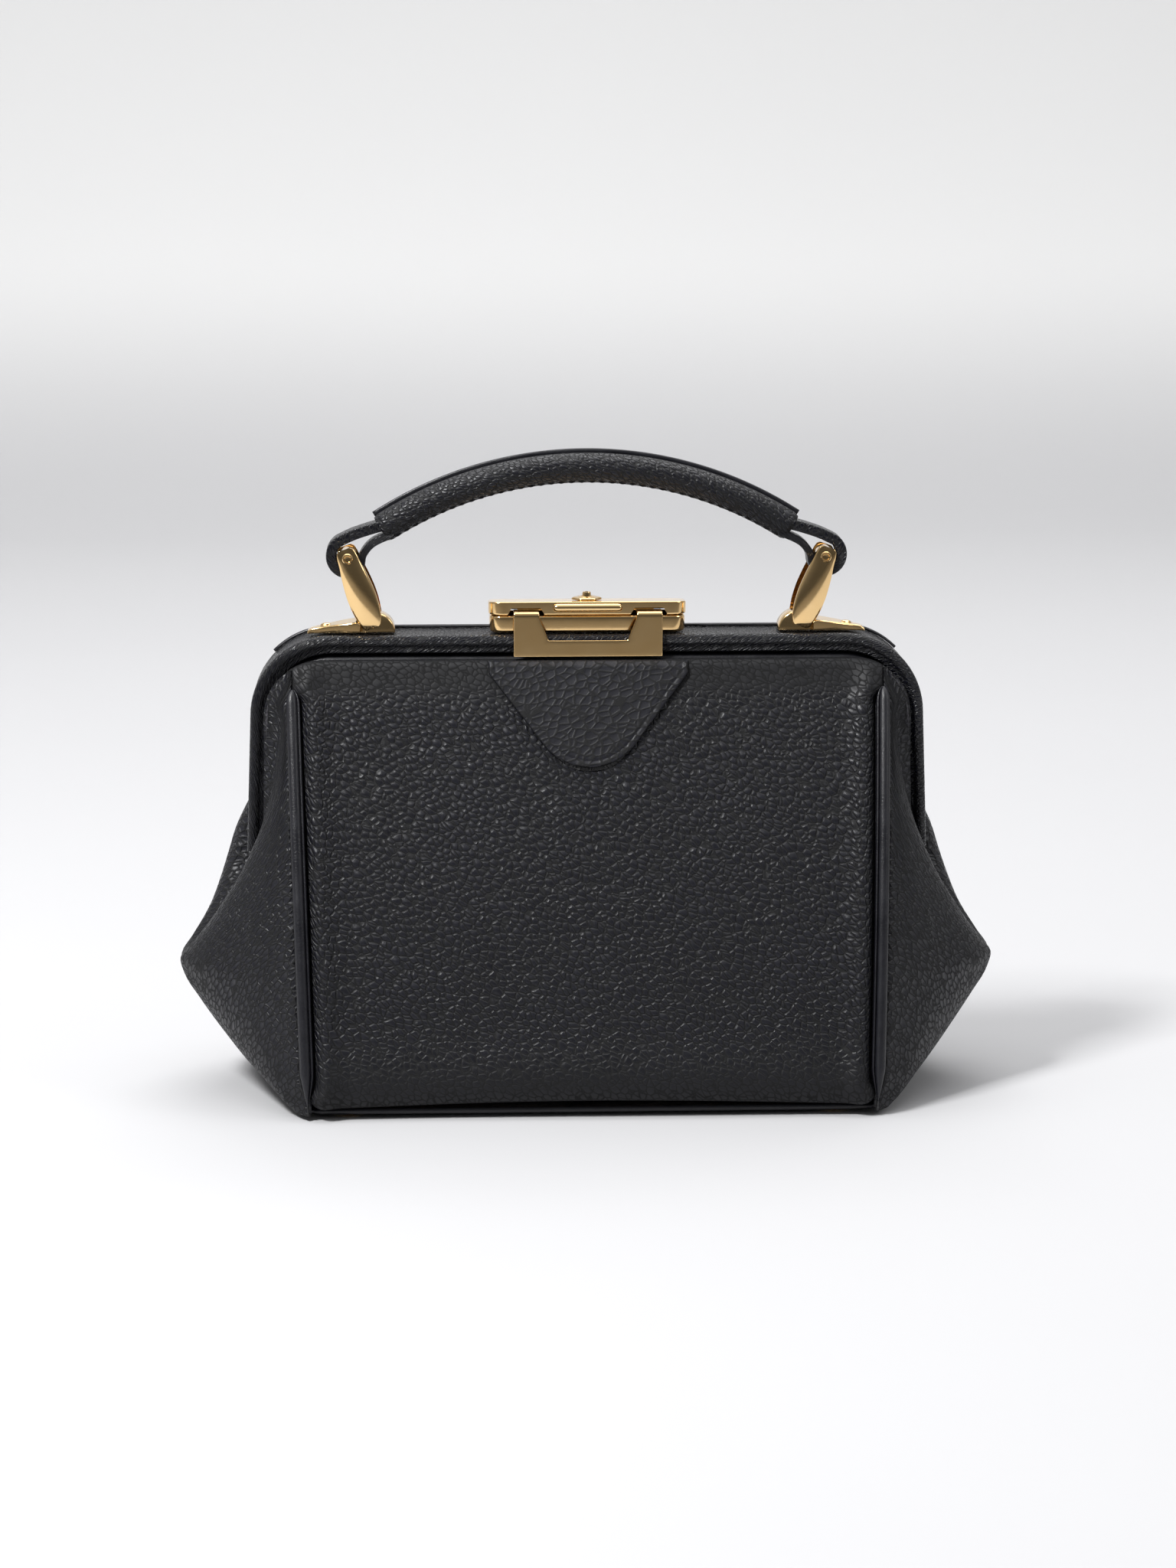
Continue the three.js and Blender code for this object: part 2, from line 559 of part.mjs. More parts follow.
const baseRivet = rodZ(1.7, 77.5, HANDLE_Y, bandTop + 1.8, bandTop + 2.6, 12);
addPair([rearFrame, rearFrame], "base_rivet", baseRivet, BRASS);

function crossPin(x, z, shaftR, headR) {
  const reach = STRAP_WIDTH / 2 + GAP + LINK_PLATE;
  return join(
    rodY(shaftR, x, HANDLE_Y - reach - 0.6, HANDLE_Y + reach + 0.6, z),
    rodY(headR, x, HANDLE_Y - reach - 0.9, HANDLE_Y - reach - GAP, z),
    rodY(headR, x, HANDLE_Y + reach + GAP, HANDLE_Y + reach + 0.9, z),
  );
}
addPair([rearFrame, rearFrame], "base_pin", crossPin(PIVOT.x, PIVOT.z, 1.25, 1.9), BRASS);
addPair([leftLink, rightLink], "top_pin", crossPin(TOP_PIN.x, TOP_PIN.z, 1.25, 1.8), BRASS);

// One leaf-shaped link plate, drawn upright on its lower pivot and then leaned outwards.
function linkPlate(front) {
  const leaf = new THREE.Shape();
  leaf.moveTo(-2.2, -2.5);
  leaf.lineTo(2.2, -2.5);
  leaf.quadraticCurveTo(3.8, -1, 4.1, 7);
  leaf.quadraticCurveTo(3.8, 14, 2.8, LINK_LENGTH + 1.6);
  leaf.lineTo(2, LINK_LENGTH + 2.6);
  leaf.lineTo(-2, LINK_LENGTH + 2.6);
  leaf.lineTo(-2.8, LINK_LENGTH + 1.6);
  leaf.quadraticCurveTo(-3.8, 14, -4.1, 7);
  leaf.quadraticCurveTo(-3.8, -1, -2.2, -2.5);
  for (const height of [0, LINK_LENGTH]) {
    const hole = new THREE.Path();
    hole.absarc(0, height, 1.55, 0, 2 * Math.PI, true);
    leaf.holes.push(hole);
  }
  return plateXZ(leaf, front, LINK_PLATE, 6).rotateY(LINK_LEAN).translate(PIVOT.x, 0, PIVOT.z);
}
const plateOffset = STRAP_WIDTH / 2 + GAP;
addPair([leftLink, rightLink], "link_front", linkPlate(HANDLE_Y - plateOffset - LINK_PLATE), BRASS);
addPair([leftLink, rightLink], "link_rear", linkPlate(HANDLE_Y + plateOffset), BRASS);

// ---- Handle: a strap loop round each top pin and a rolled grip between them ----
function strapLoop() {
  const [cx, cz] = [TOP_PIN.x, TOP_PIN.z];
  const loop = new THREE.Shape();
  loop.moveTo(GRIP_END.x - 0.3, GRIP_END.z - 3.9);
  loop.lineTo(cx - 5.6, cz - 0.6);
  loop.absarc(cx, cz, 6.1, Math.PI + 0.1, 2 * Math.PI + 0.9, false);
  loop.quadraticCurveTo(cx, GRIP_END.z + 1.6, GRIP_END.x + 2.9, GRIP_END.z + 2.2);
  const eye = new THREE.Path();
  eye.moveTo(cx - 7.2, cz + 6);
  eye.lineTo(cx - 2.9, cz + 2.6);
  eye.absarc(cx, cz, 3.9, THREE.MathUtils.degToRad(130), THREE.MathUtils.degToRad(190), true);
  loop.holes.push(eye);
  return plateXZ(loop, HANDLE_Y - STRAP_WIDTH / 2, STRAP_WIDTH, 10);
}
addPair([handle, handle], "strap_loop", strapLoop(), LEATHER_BLACK);

function loopBush() {
  const half = STRAP_WIDTH / 2;
  const sleeve = rodY(3.5, TOP_PIN.x, HANDLE_Y - half, HANDLE_Y + half, TOP_PIN.z, 20);
  return cut(sleeve, rodY(2.1, TOP_PIN.x, -20, 20, TOP_PIN.z, 20));
}
addPair([handle, handle], "loop_bush", loopBush(), BRASS);

// Sweeps a section of [radial, y] points along the arch of the grip.
function sweepGrip(section, halfAngle, steps) {
  return loft(levels(-halfAngle, halfAngle, steps).map((turn) => section.map(([radial, y]) => {
    const r = GRIP_ARC_R + radial;
    return vec(r * Math.sin(turn), HANDLE_Y + y, GRIP_CENTRE_Z + r * Math.cos(turn));
  })));
}

function ovalSection(halfHigh, halfDeep, sides) {
  return Array.from({ length: sides }, (_, k) => {
    const turn = (k / sides) * 2 * Math.PI;
    return [halfHigh * Math.cos(turn), halfDeep * Math.sin(turn)];
  });
}
const coverWall = 1.2;
const coreSection = ovalSection(GRIP_HALF_HIGH - coverWall - GAP, GRIP_HALF_DEEP - coverWall - GAP, 10);
const boreSection = ovalSection(GRIP_HALF_HIGH - coverWall, GRIP_HALF_DEEP - coverWall, 10);
add(handle, "grip_cover", cut(
  sweepGrip(ovalSection(GRIP_HALF_HIGH, GRIP_HALF_DEEP, 14), GRIP_HALF_ANGLE, 16),
  sweepGrip(boreSection, GRIP_HALF_ANGLE + 0.02, 16),
), LEATHER_BLACK);
add(handle, "grip_core", sweepGrip(coreSection, GRIP_HALF_ANGLE - 0.01, 16), LEATHER_EDGE);
const seamSection = [[4.6, 1.4], [4.6, 2.6], [5.6, 2.5], [5.6, 1.5]];
add(handle, "grip_seam", sweepGrip(seamSection, GRIP_HALF_ANGLE, 16), LEATHER_EDGE);

export default doctorBag;
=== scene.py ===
"""Looks of the doctor bag: grained black leather on a hinged frame, with a gold lock and handle mounts.

Lengths in this script are millimetres in the CAD frame; `to_m` turns them into metres when a mesh is made.
The front of the bag is -Y, and shapes described for the right or front half are mirrored for the other ones.
"""

import json
import math

import bmesh
import bpy
import numpy as np
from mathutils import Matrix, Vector


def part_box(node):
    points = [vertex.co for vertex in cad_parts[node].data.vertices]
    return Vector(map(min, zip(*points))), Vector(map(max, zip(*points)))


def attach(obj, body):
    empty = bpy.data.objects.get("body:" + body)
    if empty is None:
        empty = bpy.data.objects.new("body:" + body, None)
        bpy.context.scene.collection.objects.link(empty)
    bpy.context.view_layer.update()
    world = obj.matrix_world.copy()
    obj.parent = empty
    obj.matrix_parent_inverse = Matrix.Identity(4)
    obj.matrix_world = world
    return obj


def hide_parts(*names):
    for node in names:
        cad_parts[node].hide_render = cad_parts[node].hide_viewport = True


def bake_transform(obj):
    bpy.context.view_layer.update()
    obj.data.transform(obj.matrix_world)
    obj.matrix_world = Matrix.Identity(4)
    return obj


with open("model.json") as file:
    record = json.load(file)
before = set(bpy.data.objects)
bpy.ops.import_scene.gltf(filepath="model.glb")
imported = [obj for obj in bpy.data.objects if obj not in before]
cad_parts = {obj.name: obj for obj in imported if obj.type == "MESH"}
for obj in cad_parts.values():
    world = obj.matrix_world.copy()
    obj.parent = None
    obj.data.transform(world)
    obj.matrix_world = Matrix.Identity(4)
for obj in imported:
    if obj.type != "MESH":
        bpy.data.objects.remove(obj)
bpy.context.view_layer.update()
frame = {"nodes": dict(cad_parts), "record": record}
NODES = frame["nodes"]


def cad(node):
    """Lowest and highest corner of a CAD node, in millimetres."""
    low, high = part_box(node)
    return np.array(low) * 1000, np.array(high) * 1000


# ---- Driving dimensions, millimetres ----
HINGE_PIN_R = 3.2
HINGE_Z = cad("left_hinge_pin")[0][2] + HINGE_PIN_R
FRAME_TOP = cad("front_frame_cover")[1][2] + 0.1
FRAME_HALF = 100.0
FRAME_CORNER_R = 24.0
ARM_FLARE = 1.5

PANEL_LOW = 3.0
PANEL_HIGH = 129.5
PANEL_LOW_Y = 52.0
PANEL_HIGH_Y = 11.8
PANEL_BULGE = 5.0
PANEL_FOOT_ARCH = 1.8
PANEL_CORNER_LIFT = 2.2
PUFF_BESIDE_PIPING = 1.9
PUFF_ABOVE_FOOT = 0.9
FOOT_TUCK_R = 3.4
TOP_ROLL = 1.6
TOP_ROLL_REACH = 1.8
PIPING_LOW_X = 83.0
PIPING_HIGH_X = 87.5
PIPING_HALF = 2.0
SEAM_HALF = 0.1
PIPING_FOOT = 4.5
PIPING_TOP = 121.5
LEATHER = 1.3
CONTOUR_SIDE_X = 96.0
CONTOUR_R = 17.0
CONTOUR_CORNER_Z = PANEL_HIGH - CONTOUR_R
TUCK_Y = 10.9

HANDLE_Y = 1.0
STRAP_WIDTH = 8.6
TOP_PIN = (cad("right_top_pin")[0] + cad("right_top_pin")[1]) / 2
BASE_PIN = (cad("right_base_pin")[0] + cad("right_base_pin")[1]) / 2
GRIP_R = 111.5
GRIP_HALF_ANGLE = math.radians(33)
GRIP_HALF_HIGH = 4.5
GRIP_HALF_DEEP = 5.0
GRIP_CENTRE_Z = cad("grip_cover")[1][2] - GRIP_HALF_HIGH - GRIP_R
GRIP_END_X = GRIP_R * math.sin(GRIP_HALF_ANGLE)
GRIP_END_Z = GRIP_CENTRE_Z + GRIP_R * math.cos(GRIP_HALF_ANGLE)


# ---- Curves ----
def mix(a, b, t):
    return a + (b - a) * t


def smooth(t):
    t = np.clip(t, 0.0, 1.0)
    return t * t * (3 - 2 * t)


def hump(distance, width):
    """A smooth rise that is 1 at no distance and fades out over width."""
    return math.exp(-((distance / width) ** 2))


def round_over(gap, reach):
    """How far a round edge falls away: 1 at the edge, 0 at reach inside it."""
    return 1 - math.sqrt(max(0.0, 1 - (1 - min(gap / reach, 1)) ** 2))


def circle(steps):
    """Evenly spaced angles round a full circle."""
    return np.linspace(0, 2 * math.pi, steps, endpoint=False)


def up_panel(z):
    return (z - PANEL_LOW) / (PANEL_HIGH - PANEL_LOW)


def panel_y(z):
    """Distance of the panels' outer face from the middle of the bag."""
    t = up_panel(z)
    return mix(PANEL_LOW_Y, PANEL_HIGH_Y, t) + PANEL_BULGE * np.sin(np.pi * np.clip(t, 0, 1))


def piping_x(z):
    return mix(PIPING_LOW_X, PIPING_HIGH_X, up_panel(z))


def contour_z(x):
    """Height at which the leather turns back under the frame's bead."""
    over = np.clip(np.abs(x) - (CONTOUR_SIDE_X - CONTOUR_R), 0, CONTOUR_R - 0.01)
    return CONTOUR_CORNER_Z + np.sqrt(CONTOUR_R**2 - over**2)


def spline(points, samples):
    """Points along a smooth curve through `points`; samples is the number of steps in each stretch."""
    p = np.asarray(points, float)
    ext = np.vstack([2 * p[0] - p[1], p, 2 * p[-1] - p[-2]])
    out = []
    for i in range(1, len(ext) - 2):
        t = np.linspace(0, 1, samples, endpoint=False)[:, None]
        p0, p1, p2, p3 = ext[i - 1 : i + 3]
        d1 = max(np.linalg.norm(p1 - p0), 1e-6)
        d2 = max(np.linalg.norm(p2 - p1), 1e-6)
        d3 = max(np.linalg.norm(p3 - p2), 1e-6)
        m1 = d2 * ((p1 - p0) / d1 * d2 + (p2 - p1) / d2 * d1) / (d1 + d2)
        m2 = d2 * ((p2 - p1) / d2 * d3 + (p3 - p2) / d3 * d2) / (d2 + d3)
        h = [2 * t**3 - 3 * t**2 + 1, t**3 - 2 * t**2 + t, -2 * t**3 + 3 * t**2, t**3 - t**2]
        out.append(h[0] * p1 + h[1] * m1 + h[2] * p2 + h[3] * m2)
    out.append(p[-1:])
    return np.vstack(out)


def arc(cx, cy, r, start, end, steps):
    """Points on an arc, angles in degrees."""
    turn = np.radians(np.linspace(start, end, steps + 1))
    return [(cx + r * math.cos(a), cy + r * math.sin(a)) for a in turn]


# ---- Meshes ----
def to_m(points):
    return (np.asarray(points, float) * 0.001).tolist()


def new_object(name, points, faces, materials, uvs=None, indices=None):
    """Makes a smooth-shaded mesh object; uvs holds one (u, v) in millimetres for each point."""
    mesh = bpy.data.meshes.new(name)
    mesh.from_pydata(to_m(points), [], faces)
    for m in materials:
        mesh.materials.append(m)
    if indices is not None:
        mesh.polygons.foreach_set("material_index", indices)
    if uvs is not None:
        layer = mesh.uv_layers.new(name="UVMap")
        loops = np.zeros(len(mesh.loops), int)
        mesh.loops.foreach_get("vertex_index", loops)
        layer.data.foreach_set("uv", (np.asarray(uvs)[loops] * 0.01).ravel())
    mesh.polygons.foreach_set("use_smooth", [True] * len(mesh.polygons))
    mesh.validate()
    mesh.update()
    obj = bpy.data.objects.new(name, mesh)
    bpy.context.scene.collection.objects.link(obj)
    return obj


def grid_uv(grid):
    """Arc lengths along each row and each column of a grid, as texture coordinates in millimetres."""
    u = np.zeros(grid.shape[:2])
    v = np.zeros(grid.shape[:2])
    u[:, 1:] = np.cumsum(np.linalg.norm(np.diff(grid, axis=1), axis=2), axis=1)
    v[1:] = np.cumsum(np.linalg.norm(np.diff(grid, axis=0), axis=2), axis=0)
    u -= u[:, -1:] / 2
    return np.stack([u, v], axis=2)


def sheet(name, grid, thickness, materials, towards, keep=None, uv=None):
    """A closed sheet from a grid of outer points; `towards` is a point on its outer side.
    keep is a grid of booleans, one for each cell, that leaves cells out."""
    rows, cols = grid.shape[:2]
    points = grid.reshape(-1, 3)
    uvs = (grid_uv(grid) if uv is None else uv).reshape(-1, 2)
    quads = []
    for i in range(rows - 1):
        for j in range(cols - 1):
            if keep is None or keep[i, j]:
                a = i * cols + j
                quads.append((a, a + 1, a + cols + 1, a + cols))
    q = np.array(quads)
    normal = np.cross(points[q[:, 2]] - points[q[:, 0]], points[q[:, 3]] - points[q[:, 1]])
    centre = points[q].mean(axis=1)
    if ((np.asarray(towards) - centre) * normal).sum() < 0:
        q = q[:, ::-1]
        normal = -normal
    vertex_normal = np.zeros_like(points)
    for k in range(4):
        np.add.at(vertex_normal, q[:, k], normal)
    length = np.linalg.norm(vertex_normal, axis=1, keepdims=True)
    vertex_normal /= np.maximum(length, 1e-9)
    inner = points - vertex_normal * thickness
    n = len(points)
    faces = [tuple(f) for f in q] + [tuple(int(v) + n for v in f[::-1]) for f in q]
    index = [0] * len(q) + [min(1, len(materials) - 1)] * len(q)
    sides = {}
    for f in q:
        for k in range(4):
            a, b = int(f[k]), int(f[(k + 1) % 4])
            if (b, a) in sides:
                del sides[(b, a)]
            else:
                sides[(a, b)] = True
    for a, b in sides:
        faces.append((b, a, a + n, b + n))
        index.append(min(2, len(materials) - 1))
    both = np.vstack([points, inner])
    return cleaned(new_object(name, both, faces, materials, np.vstack([uvs, uvs]), index))


def tube(name, rings, materials, closed=False):
    """A skin round a row of rings; the ends are capped unless the row closes on itself."""
    rings = np.asarray(rings, float)
    rows, cols = rings.shape[:2]
    faces = []
    for i in range(rows if closed else rows - 1):
        this, after = i * cols, (i + 1) % rows * cols
        for j in range(cols):
            k = (j + 1) % cols
            faces.append((this + j, this + k, after + k, after + j))
    if not closed:
        faces.append(tuple(range(cols))[::-1])
        faces.append(tuple((rows - 1) * cols + j for j in range(cols)))
    uv = grid_uv(np.concatenate([rings, rings[:, :1]], axis=1))[:, :cols]
    return cleaned(new_object(name, rings.reshape(-1, 3), faces, materials, uv.reshape(-1, 2)))


def cleaned(obj):
    """Merges doubled points, drops loose ones and turns every face outwards."""
    bm = bmesh.new()
    bm.from_mesh(obj.data)
    bmesh.ops.remove_doubles(bm, verts=bm.verts, dist=1e-6)
    loose = [v for v in bm.verts if not v.link_faces]
    bmesh.ops.delete(bm, geom=loose, context="VERTS")
    bmesh.ops.recalc_face_normals(bm, faces=bm.faces)
    bm.to_mesh(obj.data)
    bm.free()
    obj.data.update()
    return obj


def finish_edges(obj, width, segments=2):
    """Rounds the sharp edges of a piece and keeps its flats flat."""
    obj.data.set_sharp_from_angle(angle=math.pi)
    bevel = obj.modifiers.new("bevel", "BEVEL")
    bevel.width = width * 0.001
    bevel.segments = segments
    bevel.limit_method = "ANGLE"
    bevel.angle_limit = math.radians(40)
    weighted = obj.modifiers.new("flat", "WEIGHTED_NORMAL")
    weighted.weight = 80
    weighted.keep_sharp = True
    return bake_modifiers(obj)


def bake_modifiers(obj):
    """Turns what the modifiers make into the object's own mesh."""
    bpy.context.view_layer.update()
    graph = bpy.context.evaluated_depsgraph_get()
    made = bpy.data.meshes.new_from_object(obj.evaluated_get(graph))
    obj.modifiers.clear()
    obj.data = made
    return obj


def carve(obj, cutters):
    """Cuts closed pieces out of obj and removes them."""
    for c in cutters:
        cut = obj.modifiers.new("cut", "BOOLEAN")
        cut.operation = "DIFFERENCE"
        cut.solver = "EXACT"
        cut.object = c
    bake_modifiers(obj)
    for c in cutters:
        bpy.data.objects.remove(c)
    return obj


def mirrored(points, x=1, y=1):
    return np.asarray(points, float) * np.array([x, y, 1.0])


def lathe(name, centre, axis, profile, steps, closed=False):
    """Turns a profile of (radius, height) points about an axis, 0, 1 or 2, through centre, in gold."""
    rings = []
    u, v = [(1, 2), (2, 0), (0, 1)][axis]
    for r, h in profile:
        ring = np.zeros((steps, 3))
        ring[:, u] = r * np.cos(circle(steps))
        ring[:, v] = r * np.sin(circle(steps))
        ring[:, axis] = h
        rings.append(ring + np.asarray(centre))
    obj = tube(name, rings, [M_GOLD], closed)
    obj.data.set_sharp_from_angle(angle=math.radians(40))
    return obj


def rounded_rectangle(half_x, half_y, r, steps=8):
    """A ring of (x, y) points with round corners."""
    ring = []
    for cx, cy, start in ((1, 1, 0), (-1, 1, 90), (-1, -1, 180), (1, -1, 270)):
        ring += arc(cx * (half_x - r), cy * (half_y - r), r, start, start + 90, steps)
    return ring


# ---- Materials ----
LEATHER_BLACK = (0.0050, 0.0051, 0.0080)
GOLD_DEEP = (0.84, 0.56, 0.25)
GOLD_PALE = (0.92, 0.66, 0.34)
LINING_GREY = (0.045, 0.042, 0.05)


class Shader:
    """Builds one Principled material out of nodes."""

    def __init__(self, name, roughness, metallic=0.0):
        self.material = bpy.data.materials.new(name)
        self.material.use_nodes = True
        self.tree = self.material.node_tree
        self.bsdf = self.tree.nodes["Principled BSDF"]
        self.bsdf.inputs["Roughness"].default_value = roughness
        self.bsdf.inputs["Metallic"].default_value = metallic

    def node(self, kind, settings=None, **inputs):
        made = self.tree.nodes.new(kind)
        for key, value in (settings or {}).items():
            setattr(made, key, value)
        for key, value in inputs.items():
            self.put(made, key.replace("_", " "), value)
        return made

    def put(self, node, socket, value):
        target = node.inputs[socket] if not socket.isdigit() else node.inputs[int(socket)]
        if isinstance(value, bpy.types.NodeSocket):
            self.tree.links.new(value, target)
        else:
            target.default_value = value

    def math(self, operation, a, b=0.0):
        made = self.tree.nodes.new("ShaderNodeMath")
        made.operation = operation
        self.put(made, "0", a)
        self.put(made, "1", b)
        return made.outputs[0]

    def weighted(self, a, share_a, b, share_b):
        return self.math("ADD", self.math("MULTIPLY", a, share_a), self.math("MULTIPLY", b, share_b))

    def cells(self, where, scale=1.0, **settings):
        return self.node("ShaderNodeTexVoronoi", settings, Vector=where, Scale=scale)

    def ramp(self, value, low, high, out_low, out_high):
        made = self.node("ShaderNodeMapRange", {"interpolation_type": "SMOOTHSTEP"})
        sockets = ("Value", "From Min", "From Max", "To Min", "To Max")
        for socket, v in zip(sockets, (value, low, high, out_low, out_high)):
            self.put(made, socket, v)
        return made.outputs["Result"]

    def colours(self, factor, a, b):
        made = self.node("ShaderNodeMix", {"data_type": "RGBA"})
        self.put(made, "0", factor)
        made.inputs[6].default_value = (*a, 1)
        made.inputs[7].default_value = (*b, 1)
        return made.outputs[2]

    def coordinates(self, source, scale=1.0, stretch=(1, 1, 1)):
        """Coordinates in units of `scale` millimetres, from the UV map or the object's own space."""
        texture = self.node("ShaderNodeTexCoord")
        unit = 100.0 if source == "UV" else 1000.0
        mapping = self.node("ShaderNodeMapping", Vector=texture.outputs[source])
        mapping.inputs["Scale"].default_value = [unit / scale * k for k in stretch]
        return mapping.outputs[0]

    def noise(self, where, scale=1.0, detail=3.0, rough=0.55):
        made = self.node("ShaderNodeTexNoise", Vector=where, Scale=scale, Detail=detail, Roughness=rough)
        return made.outputs[0]

    def tint(self, factor, colour, low, high):
        """Colours the surface from `low` to `high` times its colour."""
        made = self.colours(factor, tuple(c * low for c in colour), tuple(c * high for c in colour))
        self.put(self.bsdf, "Base Color", made)

    def emboss(self, height, distance, strength=1.0):
        """Raises the surface by up to distance millimetres."""
        made = self.node("ShaderNodeBump", Height=height, Distance=distance * 0.001, Strength=strength)
        self.put(self.bsdf, "Normal", made.outputs[0])


def leather(name, cell, depth, gloss, turn, masked=False):
    """Pebbled leather: domed cells parted by creases whose colour is darkened as painted shade, with finer
    pores over them and a worn sheen on top.
    cell is the width of a pebble and depth the height of the relief, in millimetres; turn slants the pebbles.
    A masked leather loses its relief and gloss where the mesh's relief mask is low, and there its colour is
    darkened as painted shade."""
    s = Shader(name, gloss)
    where = s.coordinates("UV", cell)
    wander = s.node("ShaderNodeTexNoise", Vector=where, Scale=0.45, Detail=2.0).outputs["Color"]
    shifted = s.node("ShaderNodeVectorMath", {"operation": "MULTIPLY_ADD"})
    s.put(shifted, "0", wander)
    shifted.inputs[1].default_value = (0.55, 0.55, 0.55)
    s.put(shifted, "2", where)
    spun = s.node("ShaderNodeMapping", Vector=shifted.outputs[0])
    spun.inputs["Rotation"].default_value = (0, 0, math.radians(turn))
    pulled = s.node("ShaderNodeMapping", Vector=spun.outputs[0])
    pulled.inputs["Scale"].default_value = (0.8, 1.2, 1.2)
    edge = s.cells(pulled.outputs[0], feature="DISTANCE_TO_EDGE").outputs["Distance"]
    crease = s.ramp(edge, 0.0, 0.2, 0.0, 1.0)
    domes = s.cells(pulled.outputs[0], feature="SMOOTH_F1")
    domes.inputs["Smoothness"].default_value = 0.15
    dome = s.ramp(domes.outputs["Distance"], 0.0, 0.9, 1.0, 0.0)
    patch = s.noise(s.coordinates("UV", 26.0), 1.0, 2.0)
    pores = s.noise(where, 6.0, 3.0, 0.6)
    height = s.math("ADD", s.weighted(crease, 0.6, dome, 0.55), s.math("MULTIPLY", pores, 0.07))
    amount = s.ramp(patch, 0.3, 0.7, 0.8, 1.0)
    # Painted shade: the colour darkens in the creases between pebbles; the large patches vary the tone at
    # random.
    shade = s.math("MULTIPLY", crease, s.ramp(patch, 0.25, 0.75, 0.6, 1.0))
    worn = s.math("MULTIPLY", patch, 0.08)
    if masked:
        grain_and_shade = s.node("ShaderNodeAttribute", {"attribute_name": "grain_and_shade"}).outputs["Fac"]
        amount = s.math("MULTIPLY", amount, grain_and_shade)
        # Painted shade: a low mask darkens the colour, standing in for the shadow under the frame's bead
        # along the panels' tops; the panels' feet and the gussets' tips darken the same way.
        shade = s.math("MULTIPLY", shade, s.ramp(grain_and_shade, 0.0, 1.0, 0.3, 1.0))
        worn = s.math("ADD", worn, s.ramp(grain_and_shade, 0.1, 0.6, 0.16, 0.0))
    s.emboss(height, depth, amount)
    s.tint(shade, LEATHER_BLACK, 0.15, 1.6)
    s.put(s.bsdf, "Roughness", s.math("ADD", s.ramp(crease, 0.1, 0.9, gloss + 0.3, gloss), worn))
    s.bsdf.inputs["Specular IOR Level"].default_value = 0.38
    return s.material


def plain_leather(name, gloss=0.36, colour=LEATHER_BLACK, depth=0.05):
    """Smooth, tightly stretched leather with fine pores and faint creases."""
    s = Shader(name, gloss)
    fine = s.coordinates("UV", 0.7)
    crease = s.ramp(s.cells(fine, 0.8, feature="DISTANCE_TO_EDGE").outputs["Distance"], 0.0, 0.15, 0.0, 1.0)
    s.emboss(s.weighted(crease, 0.5, s.noise(fine, 1.6, 4.0), 0.7), depth, 0.8)
    tone = s.noise(s.coordinates("UV", 9.0), 1.0, 3.0)
    s.tint(tone, colour, 0.7, 1.5)
    s.put(s.bsdf, "Roughness", s.ramp(tone, 0.2, 0.8, gloss - 0.05, gloss + 0.12))
    s.bsdf.inputs["Specular IOR Level"].default_value = 0.5
    return s.material


def gold():
    """Polished pale gold plating with faint polishing marks and a slightly uneven tone."""
    s = Shader("gold", 0.07, metallic=1.0)
    where = s.coordinates("Object", 4.0)
    s.put(s.bsdf, "Base Color", s.colours(s.noise(where, 0.6, 2.0), GOLD_DEEP, GOLD_PALE))
    marks = s.noise(s.coordinates("Object", stretch=(0.3, 1, 6)), 1.0, 4.0, 0.7)
    s.put(s.bsdf, "Roughness", s.ramp(marks, 0.3, 0.8, 0.07, 0.19))
    s.emboss(s.noise(where, 0.5, 1.0), 0.03, 0.5)
    return s.material


def steel():
    """Drawn steel, streaked along its length."""
    s = Shader("mill_steel", 0.55, metallic=1.0)
    drawn = s.noise(s.coordinates("Object", 1.5, stretch=(0.1, 1, 1)), 2.0, 4.0)
    s.put(s.bsdf, "Base Color", s.colours(drawn, (0.17, 0.17, 0.18), (0.27, 0.27, 0.28)))
    s.put(s.bsdf, "Roughness", s.ramp(drawn, 0.2, 0.8, 0.5, 0.65))
    return s.material


def woven():
    """Plain woven lining: threads pass over and under each other every 0.8 mm."""
    s = Shader("lining_cloth", 0.85)
    split = s.node("ShaderNodeSeparateXYZ", Vector=s.coordinates("UV", 0.8))
    across, along = (s.math("SINE", s.math("MULTIPLY", split.outputs[k], math.pi)) for k in (0, 1))
    weave = s.math("MULTIPLY", across, along)
    s.emboss(weave, 0.08, 0.7)
    s.tint(s.ramp(weave, -1.0, 1.0, 0.0, 1.0), LINING_GREY, 0.6, 1.5)
    s.bsdf.inputs["Sheen Weight"].default_value = 0.3
    return s.material


def fibre_board():
    s = Shader("fibre_board", 0.9)
    specks = s.noise(s.coordinates("Object", 1.2), 2.0, 5.0)
    s.put(s.bsdf, "Base Color", s.colours(specks, (0.25, 0.18, 0.11), (0.42, 0.33, 0.22)))
    s.emboss(specks, 0.1, 0.5)
    return s.material


def thread():
    s = Shader("thread", 0.6)
    wave = s.node("ShaderNodeTexWave", Vector=s.coordinates("Object", 0.35), Scale=1.0, Distortion=1.0)
    twist = wave.outputs["Fac"]
    s.put(s.bsdf, "Base Color", s.colours(twist, (0.006, 0.006, 0.007), (0.03, 0.03, 0.033)))
    s.emboss(twist, 0.06, 0.8)
    return s.material


M_PANEL = leather("leather_panel", cell=1.9, depth=0.55, gloss=0.36, turn=-38.0, masked=True)
M_GUSSET = leather("leather_gusset", cell=2.0, depth=0.5, gloss=0.36, turn=25.0, masked=True)
M_TONGUE = leather("leather_tongue", cell=2.3, depth=0.14, gloss=0.42, turn=-20.0)
M_GRIP = leather("leather_grip", cell=1.4, depth=0.34, gloss=0.3, turn=60.0)
M_BAND = leather("leather_band", cell=1.3, depth=0.2, gloss=0.2, turn=0.0)
M_EDGE = plain_leather("leather_smooth")
M_CUT = plain_leather("leather_cut_edge", 0.6, (0.016, 0.016, 0.017), 0.1)
M_GOLD = gold()
M_STEEL = steel()
M_LINING = woven()
M_BOARD = fibre_board()
M_THREAD = thread()


